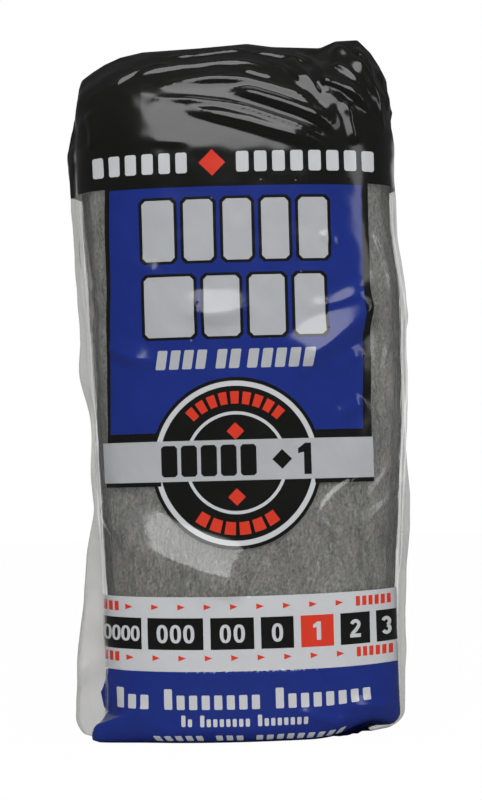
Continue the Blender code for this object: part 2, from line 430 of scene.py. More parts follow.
@dataclass(frozen=True)
class BagForm:
    """Sizes of the bag and its stack in metres, as in the solids that they dress."""

    pad_count: int = 12
    pad_width: float = 0.1034
    pad_thickness: float = 0.0051
    pad_gap: float = 0.0003
    end_rounding: float = 0.0018
    stack_top: float = 0.2020
    film_offset: float = 0.0007
    shoulder: float = 0.1900
    exponent: float = 2.6
    base_tuck: float = 0.0060
    base_tuck_right: float = 0.0045
    base_rounding: float = 0.0070
    top_length: float = 0.0550
    fin_root: float = 5.0
    fin_fade: float = 0.045
    fin_sway: float = 0.22
    fin_waves: Point2 = (190.0, 430.0)
    corner_place: float = 0.0400
    corner_reach: float = 0.0090
    corner_rise: float = 0.0042
    corner_fade: float = 0.0220
    straight_from: float = 60.0
    flare_turn: float = -1.20
    flare_spread: float = 0.28
    flare_height: float = 0.0095
    flare_reach: float = 0.0100
    vent_radius: float = 0.0025
    vent_height: float = 0.1780
    side_swell: Tuple[Station, ...] = (
        (0.000, -0.0071, -0.0036),
        (0.040, -0.0071, -0.0034),
        (0.075, -0.0060, -0.0009),
        (0.110, -0.0046, 0.0014),
        (0.148, -0.0028, 0.0016),
        (0.168, -0.0018, -0.0010),
        (0.190, -0.0008, -0.0012),
    )
    left_fin: Tuple[Station, ...] = (
        (0.000, 0.0085),
        (0.008, 0.0098),
        (0.028, 0.0092),
        (0.048, 0.0060),
        (0.060, 0.0050),
        (0.076, 0.0014),
        (0.104, 0.0006),
        (0.120, 0.0030),
        (0.146, 0.0022),
        (0.190, 0.0020),
    )
    right_fin: Tuple[Station, ...] = (
        (0.000, 0.0010),
        (0.028, 0.0028),
        (0.060, 0.0024),
        (0.076, 0.0026),
        (0.096, 0.0004),
        (0.190, 0.0004),
    )
    ridge: Tuple[Station, ...] = (
        (-1.00, 0.0010, 0.0185),
        (-0.98, 0.0006, 0.0262),
        (-0.95, 0.0002, 0.0298),
        (-0.88, 0.0000, 0.0324),
        (-0.80, 0.0000, 0.0350),
        (-0.70, 0.0000, 0.0373),
        (-0.56, 0.0000, 0.0389),
        (-0.20, 0.0000, 0.0398),
        (0.10, 0.0000, 0.0409),
        (0.26, 0.0000, 0.0396),
        (0.56, 0.0000, 0.0388),
        (0.66, 0.0000, 0.0410),
        (0.80, 0.0000, 0.0412),
        (0.88, 0.0000, 0.0368),
        (0.94, 0.0000, 0.0316),
        (0.98, 0.0004, 0.0262),
        (1.00, 0.0008, 0.0180),
    )

    @property
    def pitch(self) -> float:
        """Distance from one pad to the next."""
        return self.pad_thickness + self.pad_gap

    @property
    def half_depth(self) -> float:
        """Half the depth of the stack."""
        return (self.pad_count * self.pitch - self.pad_gap) / 2

    @property
    def half_width(self) -> float:
        """Half the width of the stack before its sides swell or draw in."""
        return self.pad_width / 2 + self.end_rounding

    @property
    def top(self) -> float:
        """Place of the ridge along the film, as a height that goes on past the shoulder."""
        return self.shoulder + self.top_length


@dataclass
class Section:
    """Rounded cross-section that the film and the pads share; slide moves it to its place."""

    form: BagForm
    slide: Sequence[float] = (0.0, 0.0, 0.0)
    side_blur: float = 0.006
    fin_blur: float = 0.0035
    ridge_blur: float = 0.012

    def __post_init__(self) -> None:
        """Smooth the form's stations."""
        form = self.form
        self.sides = [Profile(form.side_swell, column, self.side_blur) for column in (1, 2)]
        self.fins = [Profile(fin, 1, self.fin_blur) for fin in (form.left_fin, form.right_fin)]
        self.ridge_in = Profile(form.ridge, 1, self.ridge_blur)
        self.ridge_rise = Profile(form.ridge, 2, self.ridge_blur)

    def half_width(self, share_x: np.ndarray, height: np.ndarray, offset: float) -> np.ndarray:
        """Half-width of the section on the side that share_x names.

        Args:
            share_x: Share of the half-width, negative to the left.
            height: Height of each point.
            offset: How far outside the stack the section lies.

        Returns:
            The half-widths.
        """
        blend = np.clip(share_x * 4.0 + 0.5, 0.0, 1.0)
        swell = self.sides[0].at(height) * (1.0 - blend) + self.sides[1].at(height) * blend
        return self.form.half_width + swell + offset

    def turned_up(self, x: np.ndarray, forward: np.ndarray, height: np.ndarray) -> np.ndarray:
        """Share of the rise of the right base corner, from none to all.

        Args:
            x: Place across the bag.
            forward: Share of the half-depth, positive to the front.
            height: Height of each point.

        Returns:
            The shares, which are 1 in the middle of the corner at the bottom.
        """
        form = self.form
        across = np.exp(-(((x - form.corner_place) / form.corner_reach) ** 2))
        low = np.clip(1.0 - height / form.corner_fade, 0.0, 1.0) ** 2
        return across * np.clip(forward * 2.0, 0.0, 1.0) * low

    def tuck(self, height: np.ndarray, bottom: float, reach: Union[float, np.ndarray]) -> np.ndarray:
        """How far the section is drawn in above its bottom edge.

        Args:
            height: Height of each point.
            bottom: Height of the bottom edge.
            reach: How far the bottom edge itself is drawn in.

        Returns:
            The distances.
        """
        rise = np.clip((height - bottom) / self.form.base_rounding, 0.0, 1.0)
        return reach * (1.0 - np.sqrt(1.0 - (1.0 - rise) ** 2))


class FilmSurface(Section):
    """Where the film lies: turn is the angle round the bag, rise the way up it."""

    def shares(self, turn: np.ndarray) -> Tuple[np.ndarray, np.ndarray]:
        """Shares of half-width and half-depth at a turn."""
        power = 2.0 / self.form.exponent
        return signed_power(np.sin(turn), power), -signed_power(np.cos(turn), power)

    def climb(self, over: np.ndarray) -> np.ndarray:
        """Share of the ridge's rise at an angle over the top: round at first, then straight."""
        bend = math.radians(self.form.straight_from)
        whole = math.sin(bend) + (math.pi / 2 - bend) * math.cos(bend)
        straight = np.maximum(over - bend, 0.0) * math.cos(bend)
        return (np.sin(np.minimum(over, bend)) + straight) / whole

    def fin_share(self, share_y: np.ndarray) -> np.ndarray:
        """Share of the fin's reach: all at the very side, none past its root."""
        root = math.sin(math.radians(self.form.fin_root)) ** (2.0 / self.form.exponent)
        return np.clip(1.0 - np.abs(share_y) / root, 0.0, 1.0) ** 1.5

    def smooth(self, turn: np.ndarray, rise: np.ndarray) -> np.ndarray:
        """Points of the film before it is creased.

        Args:
            turn: Angle round the bag, 0 at the front and positive to the right.
            rise: Height, which goes on past the shoulder as length of film.

        Returns:
            One row for each point.
        """
        form = self.form
        share_x, share_y = self.shares(turn)
        height = np.clip(rise, 0.0, form.shoulder)
        reach = form.base_tuck + form.base_tuck_right * np.clip(share_x, 0.0, 1.0)
        drawn_in = self.tuck(height, 0.0, reach)
        x = share_x * (self.half_width(share_x, height, form.film_offset) - drawn_in)
        y = share_y * (form.half_depth + form.film_offset - drawn_in)
        fin = np.where(share_x < 0, self.fins[0].at(height), self.fins[1].at(height))
        fin = fin * np.clip((form.top - rise) / form.fin_fade, 0.0, 1.0)
        loose = self.fin_share(share_y)
        x = x + np.sign(share_x) * fin * loose
        slow, quick = form.fin_waves
        sway = np.sin(height * slow) + 0.7 * np.sin(height * quick + 1.0)
        y = y + np.clip(fin - 0.001, 0.0, 1.0) * loose * sway * form.fin_sway
        over = np.clip((rise - form.shoulder) / form.top_length, 0.0, 1.0) * math.pi / 2
        depth_share = np.cos(over)
        x = x - np.sign(x) * self.ridge_in.at(share_x) * (1.0 - depth_share)
        flared = np.exp(-(((turn - form.flare_turn) / form.flare_spread) ** 2))
        flared = form.flare_reach * flared * np.clip(1.0 - rise / form.flare_height, 0.0, 1.0)
        x, y = x - flared, y - 0.25 * flared
        turned_up = self.turned_up(x, -share_y, rise)
        z = height + self.ridge_rise.at(share_x) * self.climb(over) + form.corner_rise * turned_up
        return np.stack([x, y * depth_share, z], axis=-1) + self.slide

    def normal(self, turn: np.ndarray, rise: np.ndarray) -> np.ndarray:
        """Outward unit normals of the smooth film."""
        around = self.smooth(turn + 0.004, rise) - self.smooth(turn - 0.004, rise)
        upward = self.smooth(turn, rise + 0.0004) - self.smooth(turn, rise - 0.0004)
        crossed = np.cross(around, upward)
        return crossed / np.maximum(np.linalg.norm(crossed, axis=-1, keepdims=True), 1e-12)


class SheetMap:
    """Turns lengths of flat film into turns round the bag."""

    turn_count: int = 1801
    height_count: int = 96

    def __init__(self, surface: FilmSurface) -> None:
        """Measure the section once all round and at many heights.

        Args:
            surface: The film's surface.
        """
        self.surface = surface
        self.turns = np.linspace(0.0, math.pi, self.turn_count)
        form = surface.form
        share_x, share_y = surface.shares(self.turns)
        half_width = form.half_width + form.film_offset
        ring = np.stack([share_x * half_width, share_y * form.half_depth], axis=-1)
        self.lengths = self.measured(ring)
        self.heights = np.linspace(0.0, form.shoulder, self.height_count)
        self.tables = [
            [self.side_table(sign, height) for height in self.heights] for sign in (-1.0, 1.0)
        ]

    @staticmethod
    def measured(points: np.ndarray) -> np.ndarray:
        """Length along points from the first one."""
        steps = np.linalg.norm(np.diff(points, axis=0), axis=1)
        return np.concatenate([[0.0], np.cumsum(steps)])

    def side_table(self, sign: float, height: float) -> np.ndarray:
        """Length round one side of the bag at a height, at each of the turns."""
        return self.measured(self.surface.smooth(sign * self.turns, np.full_like(self.turns, height)))

    @property
    def half_girth(self) -> float:
        """Half the way round the bag, from the middle of the front to the middle of the back."""
        return float(self.lengths[-1])

    def turn(self, sheet: np.ndarray) -> np.ndarray:
        """Turn round the bag at a place across the flat film."""
        return np.sign(sheet) * np.interp(np.abs(sheet), self.lengths, self.turns)

    def sheet(self, turn: np.ndarray) -> np.ndarray:
        """Place across the flat film at a turn."""
        return np.sign(turn) * np.interp(np.abs(turn), self.turns, self.lengths)

    def printed(self, point: Point2) -> Point2:
        """Place on the flat film of print that lies a true distance from the middle of the front.

        Args:
            point: Distance round the front, and height.

        Returns:
            Place across the flat film, and height.
        """
        across, height = point
        row = int(np.clip(round(height / self.heights[1]), 0, len(self.heights) - 1))
        table = self.tables[0 if across < 0 else 1][row]
        turn = float(np.interp(abs(across), table, self.turns))
        return math.copysign(float(np.interp(turn, self.turns, self.lengths)), across), height


@dataclass(frozen=True)
class Crease:
    """One fold of the film, in millimetres from the middle of the front and up."""

    start: Point2
    bend: Point2
    end: Point2
    height: float
    half_width: float
    lean: float = 0.0
    taper: float = 0.25
    swell: float = 0.0

    def lift(self, across: np.ndarray, rise: np.ndarray) -> np.ndarray:
        """How far the fold lifts the film at places on the sheet, in millimetres.

        Args:
            across: Places across the sheet.
            rise: Places up the sheet.

        Returns:
            The lift at each place.
        """
        t = np.linspace(0.0, 1.0, CREASE_SAMPLES)
        px = (1 - t) ** 2 * self.start[0] + 2 * t * (1 - t) * self.bend[0] + t * t * self.end[0]
        py = (1 - t) ** 2 * self.start[1] + 2 * t * (1 - t) * self.bend[1] + t * t * self.end[1]
        reach = CREASE_REACH * self.half_width
        near = (across > px.min() - reach) & (across < px.max() + reach)
        near &= (rise > py.min() - reach) & (rise < py.max() + reach)
        lifted = np.zeros_like(across)
        if not near.any():
            return lifted
        dx = across[near, None] - px[None, :]
        dy = rise[near, None] - py[None, :]
        gap = dx * dx + dy * dy
        best = np.argmin(gap, axis=1)
        rows = np.arange(len(best))
        tx, ty = np.gradient(px)[best], np.gradient(py)[best]
        beside = (tx * dy[rows, best] - ty * dx[rows, best]) / np.hypot(tx, ty)
        share = np.clip(np.minimum(t, 1.0 - t)[best] / self.taper, 0.0, 1.0)
        fade = share * share * (3.0 - 2.0 * share) * (1.0 + self.swell * (1.0 - t[best]))
        lifted[near] = self.height * fade * self.profile(beside, gap[rows, best])
        return lifted

    def profile(self, beside: np.ndarray, gap: np.ndarray) -> np.ndarray:
        """Share of the fold's height across it.

        Args:
            beside: Signed distance from the fold's line, positive above it.
            gap: Square of the distance from the line.

        Returns:
            The shares.
        """
        width = self.half_width * (1.0 + self.lean * np.tanh(2.0 * beside / self.half_width))
        return np.exp(-gap / (width * width))


@dataclass(frozen=True)
class Facet(Crease):
    """Even slope of the film, as wide as half_width, that falls more steeply past its edge."""

    steep: float = 0.5
    edge: float = 14.0
    softness: float = 0.01

    def profile(self, beside: np.ndarray, gap: np.ndarray) -> np.ndarray:
        """Share of the facet's height across it, as for a fold."""
        signed = np.copysign(np.sqrt(gap), beside)
        rising = self.edge * (1.0 - signed / self.half_width)
        falling = self.edge * (1.0 + signed / (self.steep * self.half_width))
        lower = -np.logaddexp(-rising, -falling) / self.edge
        return 0.5 * (lower + np.sqrt(lower**2 + self.softness))


class Ripple:
    """Smooth random waves over the sheet, the same each time."""

    def __init__(self, seed: int, wavelength: float, height: float, waves: int = 14) -> None:
        """Choose the waves.

        Args:
            seed: Seed of the choice.
            wavelength: Middle wavelength in millimetres.
            height: Height of the sum in millimetres.
            waves: How many waves are summed.
        """
        rng = np.random.default_rng(seed)
        angles = rng.uniform(0.0, math.pi, waves)
        lengths = wavelength * rng.uniform(0.6, 1.6, waves)
        self.kx = 2 * math.pi / lengths * np.cos(angles)
        self.ky = 2 * math.pi / lengths * np.sin(angles)
        self.phase = rng.uniform(0.0, 2 * math.pi, waves)
        self.height = height * math.sqrt(2.0 / waves)

    def lift(self, across: np.ndarray, rise: np.ndarray) -> np.ndarray:
        """Lift at places on the sheet, in millimetres."""
        total = np.zeros_like(across)
        for kx, ky, phase in zip(self.kx, self.ky, self.phase):
            total += np.sin(kx * across + ky * rise + phase)
        return total * self.height


@dataclass(frozen=True)
class Field:
    """One closed outline on the film, as seen from the front in millimetres, and its ink."""

    ink: Ink
    outline: Outline
    wraps: bool = False


def box(
    left: float, bottom: float, right: float, top: float, chamfer: float = 0.0, slant: float = 0.0
) -> Outline:
    """Outline of a rectangle.

    Args:
        left: Left edge.
        bottom: Bottom edge.
        right: Right edge.
        top: Top edge.
        chamfer: Length cut off each corner.
        slant: How far the top edge is pushed to the right.

    Returns:
        The corners, counter-clockwise.
    """
    c = chamfer
    corners = [(left, bottom), (right, bottom), (right, top), (left, top)]
    if c > 0.0:
        corners = [(left + c, bottom), (right - c, bottom), (right, bottom + c), (right, top - c)]
        corners += [(right - c, top), (left + c, top), (left, top - c), (left, bottom + c)]
    return tuple((x + slant * (z - bottom) / (top - bottom), z) for x, z in corners)


def diamond(x: float, z: float, reach: float) -> Outline:
    """Outline of a square that stands on its corner."""
    return ((x - reach, z), (x, z - reach), (x + reach, z), (x, z + reach))


def arc(center: Point2, inner: float, outer: float, start: float, end: float) -> Outline:
    """Outline of a piece of a ring.

    Args:
        center: The ring's centre.
        inner: Inner radius, or 0 for a disc or sector.
        outer: Outer radius.
        start: First angle in degrees, counter-clockwise from the right.
        end: Last angle.

    Returns:
        The outline.
    """
    count = max(5, int(abs(end - start) * outer / 60.0) + 2)
    angles = [math.radians(start + (end - start) * n / (count - 1)) for n in range(count)]
    rim = [(center[0] + outer * math.cos(a), center[1] + outer * math.sin(a)) for a in angles]
    if end - start >= 360.0:
        return tuple(rim[:-1])
    if inner <= 0.0:
        return tuple(rim)
    hub = [(center[0] + inner * math.cos(a), center[1] + inner * math.sin(a)) for a in angles]
    return tuple(rim + hub[::-1])


def oval(center: Point2, half_width: float, half_height: float, power: float = 2.4) -> Outline:
    """Outline of a rounded oval.

    Args:
        center: The oval's middle.
        half_width: Half of its width.
        half_height: Half of its height.
        power: How square it is, where 2 is an ellipse.

    Returns:
        The outline.
    """
    angles = [2 * math.pi * n / OVAL_POINTS for n in range(OVAL_POINTS)]
    turns = [(math.cos(a), math.sin(a)) for a in angles]
    return tuple(
        (
            center[0] + half_width * math.copysign(abs(c) ** (2 / power), c),
            center[1] + half_height * math.copysign(abs(s) ** (2 / power), s),
        )
        for c, s in turns
    )


def stroke(points: Sequence[Point2], width: float) -> Outline:
    """Outline of a pen stroke with square ends.

    Args:
        points: The line that the pen follows.
        width: Width of the pen.

    Returns:
        The outline.
    """
    line = np.array(points)
    way = np.gradient(line, axis=0)
    way /= np.linalg.norm(way, axis=1, keepdims=True)
    side = np.stack([-way[:, 1], way[:, 0]], axis=1) * width / 2
    return tuple(map(tuple, np.concatenate([line + side, (line - side)[::-1]]).tolist()))


@dataclass(frozen=True)
class Artwork:
    """Print of the bag: plain shapes and a plain scale of numbers. Lengths in millimetres."""

    top_band: float = 180.3
    panel_half_width: float = 41.0
    panel_border: float = 1.9
    panel_bottom: float = 100.4
    bar_bottom: float = 84.6
    bar_top: float = 97.7
    bar_left: float = -44.6
    bar_right: float = 43.3
    badge: Point2 = (-1.2, 90.3)
    badge_radius: float = 27.6
    scale_top: float = 48.2
    scale_left: float = -47.8
    scale_right: float = 50.6
    numbers_bottom: float = 31.2
    numbers_top: float = 41.4
    band_top: float = 24.2

    def fields(self) -> List[Field]:
        """All fields, each over those before it."""
        made = self.bands() + self.heading() + self.panel() + self.rows() + self.small_row()
        made += self.badge_disc() + self.bar() + self.badge_marks()
        return made + self.scale() + self.numbers() + self.arrows() + self.base_marks()

    def bands(self) -> List[Field]:
        """Black top, which runs all the way round, and the blue band at the base."""
        whole = 400.0
        right, low = self.scale_right, self.band_top
        base = ((-51.0, 0.0), (right - 0.6, 0.0), (right - 0.4, low), (-44.6, low), (-46.6, 20.0))
        fold = ((-47.6, 14.5), (-45.8, 10.4), (-44.4, 9.6), (-47.0, 7.0), (-52.0, 2.4))
        return [
            Field(Ink.BLACK, box(-whole, self.top_band, whole, whole), True),
            Field(Ink.BLUE, base + fold),
        ]

    def heading(self) -> List[Field]:
        """Two rows of small upright blocks on the black top, with a diamond between them."""
        made = []
        for left, right, count in ((-46.4, -13.5, 6), (0.6, 47.4, 8)):
            pitch = (right - left) / count
            for start in (left + n * pitch for n in range(count)):
                made.append(Field(Ink.WHITE, box(start + 0.5, 184.2, start + pitch - 1.3, 190.9, 0.5)))
        return made + [Field(Ink.RED, diamond(-6.7, 187.4, 4.3))]

    def panel(self) -> List[Field]:
        """Blue panel in a black border, and the black line under it."""
        half, edge = self.panel_half_width, self.panel_border
        outer = box(-half - edge, self.bar_top - 1.0, half + edge, self.top_band + 1.0, 0.0, 1.0)
        inner = box(-half - 0.9, self.panel_bottom, half - 0.9, self.top_band - 0.6, 0.0, 1.6)
        return [Field(Ink.BLACK, outer), Field(Ink.BLUE, inner)]

    def rows(self) -> List[Field]:
        """Two rows of large blocks, each in a dark outline."""
        made = []
        first = ((-30.4, -18.9), (-17.0, -6.2), (-4.2, 6.2), (8.2, 18.2), (20.2, 30.8))
        second = ((-30.2, -13.0), (-11.0, 1.8), (3.8, 16.4), (18.4, 29.2))
        for row, bottom, top in ((first, 155.8, 175.6), (second, 131.2, 150.8)):
            for left, right in row:
                made.append(Field(Ink.BLACK, box(left - 0.4, bottom - 0.9, right + 0.4, top + 0.9, 1.5)))
                made.append(Field(Ink.SILVER, box(left + 0.6, bottom, right - 0.6, top, 1.2)))
        return made

    def small_row(self) -> List[Field]:
        """Slanted blocks under the large rows."""
        made = []
        for left, right, count in ((-26.6, -9.4, 4), (-7.2, 1.6, 2), (3.0, 25.2, 5)):
            pitch = (right - left) / count
            for start in (left + n * pitch for n in range(count)):
                made.append(Field(Ink.SILVER, box(start, 120.8, start + pitch - 1.2, 127.0, 0.3, 1.0)))
        return made

    def badge_disc(self) -> List[Field]:
        """Black badge with two white rings."""
        rings = [Field(Ink.BLACK, arc(self.badge, 0.0, self.badge_radius, 0.0, 360.0))]
        for outer, inner in ((0.958, 0.898), (0.600, 0.563)):
            for ink, share in ((Ink.WHITE, outer), (Ink.BLACK, inner)):
                rings.append(Field(ink, arc(self.badge, 0.0, self.badge_radius * share, 0.0, 360.0)))
        return rings

    def bar(self) -> List[Field]:
        """Silver bar across the badge, with plain dark blocks and one numeral."""
        made = [
            Field(Ink.BLACK, box(self.bar_left + 0.6, self.bar_bottom - 1.4, -25.6, self.bar_bottom)),
            Field(Ink.BLACK, box(24.0, self.bar_bottom - 1.4, self.bar_right, self.bar_bottom)),
            Field(Ink.SILVER, box(self.bar_left, self.bar_bottom, self.bar_right, self.bar_top)),
        ]
        low, high = self.bar_bottom + 1.5, self.bar_top - 1.5
        for n in range(5):
            start = -25.4 + n * 6.4
            made.append(Field(Ink.BLACK, box(start, low, start + 5.2, high, 0.8)))
        middle = (low + high) / 2
        made.append(Field(Ink.BLACK, diamond(13.6, middle, 3.2)))
        return made + self.one((20.9, middle), (high - low) / 2, Ink.BLACK)

    def badge_marks(self) -> List[Field]:
        """Red marks round the badge's rim and in its middle."""
        made = []
        middle, radius = self.badge, self.badge_radius
        inner, outer, gap = radius * 0.69, radius * 0.835, 1.6
        for first, last, count in ((44.0, 136.0, 9), (-128.0, -52.0, 6)):
            pitch = (last - first) / count
            for start in (first + n * pitch for n in range(count)):
                made.append(Field(Ink.RED, arc(middle, inner, outer, start + gap, start + pitch - gap)))
        for z in (middle[1] + radius * 0.37, middle[1] - radius * 0.40):
            made.append(Field(Ink.RED, diamond(middle[0], z, 2.8)))
        return made

    def scale(self) -> List[Field]:
        """White strip that carries the scale of numbers."""
        return [Field(Ink.WHITE, box(self.scale_left, self.band_top, self.scale_right, self.scale_top))]

    @staticmethod
    def zero(center: Point2, half_height: float, ground: Ink) -> List[Field]:
        """Numeral 0 in white on its ground."""
        ring = oval(center, half_height * 0.61, half_height)
        hole = oval(center, half_height * 0.22, half_height * 0.68)
        return [Field(Ink.WHITE, ring), Field(ground, hole)]

    @staticmethod
    def one(center: Point2, half_height: float, ink: Ink) -> List[Field]:
        """Numeral 1."""
        stem = ((-0.05, -1.0), (0.42, -1.0), (0.42, 1.0), (0.05, 1.0))
        flag = ((-0.42, 0.66), (-0.42, 0.34), (-0.05, 0.42))
        x, z = center
        return [Field(ink, tuple((x + a * half_height, z + b * half_height) for a, b in stem + flag))]

    @staticmethod
    def two(center: Point2, half_height: float, ink: Ink) -> List[Field]:
        """Numeral 2."""
        x, z = center
        h = half_height
        turns = np.radians(range(170, -31, -25))
        crown = [(x + 0.40 * h * math.cos(a), z + 0.42 * h + 0.38 * h * math.sin(a)) for a in turns]
        path = crown + [(x + 0.10 * h, z - 0.15 * h), (x - 0.38 * h, z - 0.62 * h)]
        foot = box(x - 0.60 * h, z - h, x + 0.62 * h, z - 0.60 * h)
        return [Field(ink, stroke(path, 0.40 * h)), Field(ink, foot)]

    @staticmethod
    def three(center: Point2, half_height: float, ink: Ink) -> List[Field]:
        """Numeral 3."""
        x, z = center
        h = half_height
        made = []
        for middle, low, high in ((0.42, -75, 160), (-0.40, -160, 75)):
            turns = np.radians(np.linspace(low, high, 11))
            path = [(x + 0.36 * h * math.cos(a), z + middle * h + 0.40 * h * math.sin(a)) for a in turns]
            made.append(Field(ink, stroke(path, 0.38 * h)))
        return made

    def numbers(self) -> List[Field]:
        """Boxes of the scale from 0000 to 3, with the box of the 1 in red."""
        low, high = self.numbers_bottom, self.numbers_top
        middle, half = (low + high) / 2, 2.95
        made = []
        for left, right, count, pitch in (
            (-46.9, -33.2, 4, 3.15),
            (-31.2, -13.2, 3, 4.3),
            (-10.9, 3.2, 2, 4.5),
            (5.4, 15.9, 1, 5.0),
        ):
            made.append(Field(Ink.BLACK, box(left, low, right, high)))
            for n in range(count):
                x = (left + right) / 2 + (n - (count - 1) / 2) * pitch
                height = half if count < 4 else half * 0.84
                made += self.zero((x, middle), height, Ink.BLACK)
        for numeral, x, left, right, ground in (
            (self.one, 23.4, 18.2, 28.8, Ink.RED),
            (self.two, 35.9, 31.0, 40.8, Ink.BLACK),
            (self.three, 46.2, 42.9, 50.2, Ink.BLACK),
        ):
            made.append(Field(ground, box(left, low, right, high)))
            made += numeral((x, middle), half, Ink.WHITE)
        return made

    def arrows(self) -> List[Field]:
        """Rows of small red arrowheads over and under the boxes, between short bars."""
        made = []
        for z in (44.9, 28.5):
            for n in range(9):
                x = -37.2 + n * 8.5
                made.append(Field(Ink.RED, ((x - 1.2, z - 0.95), (x + 1.3, z), (x - 1.2, z + 0.95))))
            for start, count in ((-46.2, 3), (36.2, 6)):
                for n in range(count):
                    x = start + n * 2.1
                    made.append(Field(Ink.RED, box(x, z - 1.4, x + 1.4, z + 1.7)))
        return made

    def base_marks(self) -> List[Field]:
        """Plain bars on the blue band at the base."""
        made = []
        for left, right, low, high, first, lengths in (
            (-42.6, 41.4, 12.0, 16.6, 18.6, (3, 8, 8)),
            (-21.2, 20.2, 6.6, 9.0, 10.2, (2, 8, 8)),
            (-31.2, 34.0, 1.2, 3.4, 3.4, (5, 3, 9)),
        ):
            space = 0.9
            unit = (right - left) / (sum(lengths) + space * (len(lengths) - 1))
            start, gap = left, 0.24 * unit
            for count in lengths:
                for n in range(count):
                    bar = box(start + gap / 2, low, start + unit - gap, first if n == 0 else high, 0.25)
                    made.append(Field(Ink.WHITE, bar))
                    start += unit
                start += space * unit
        return made


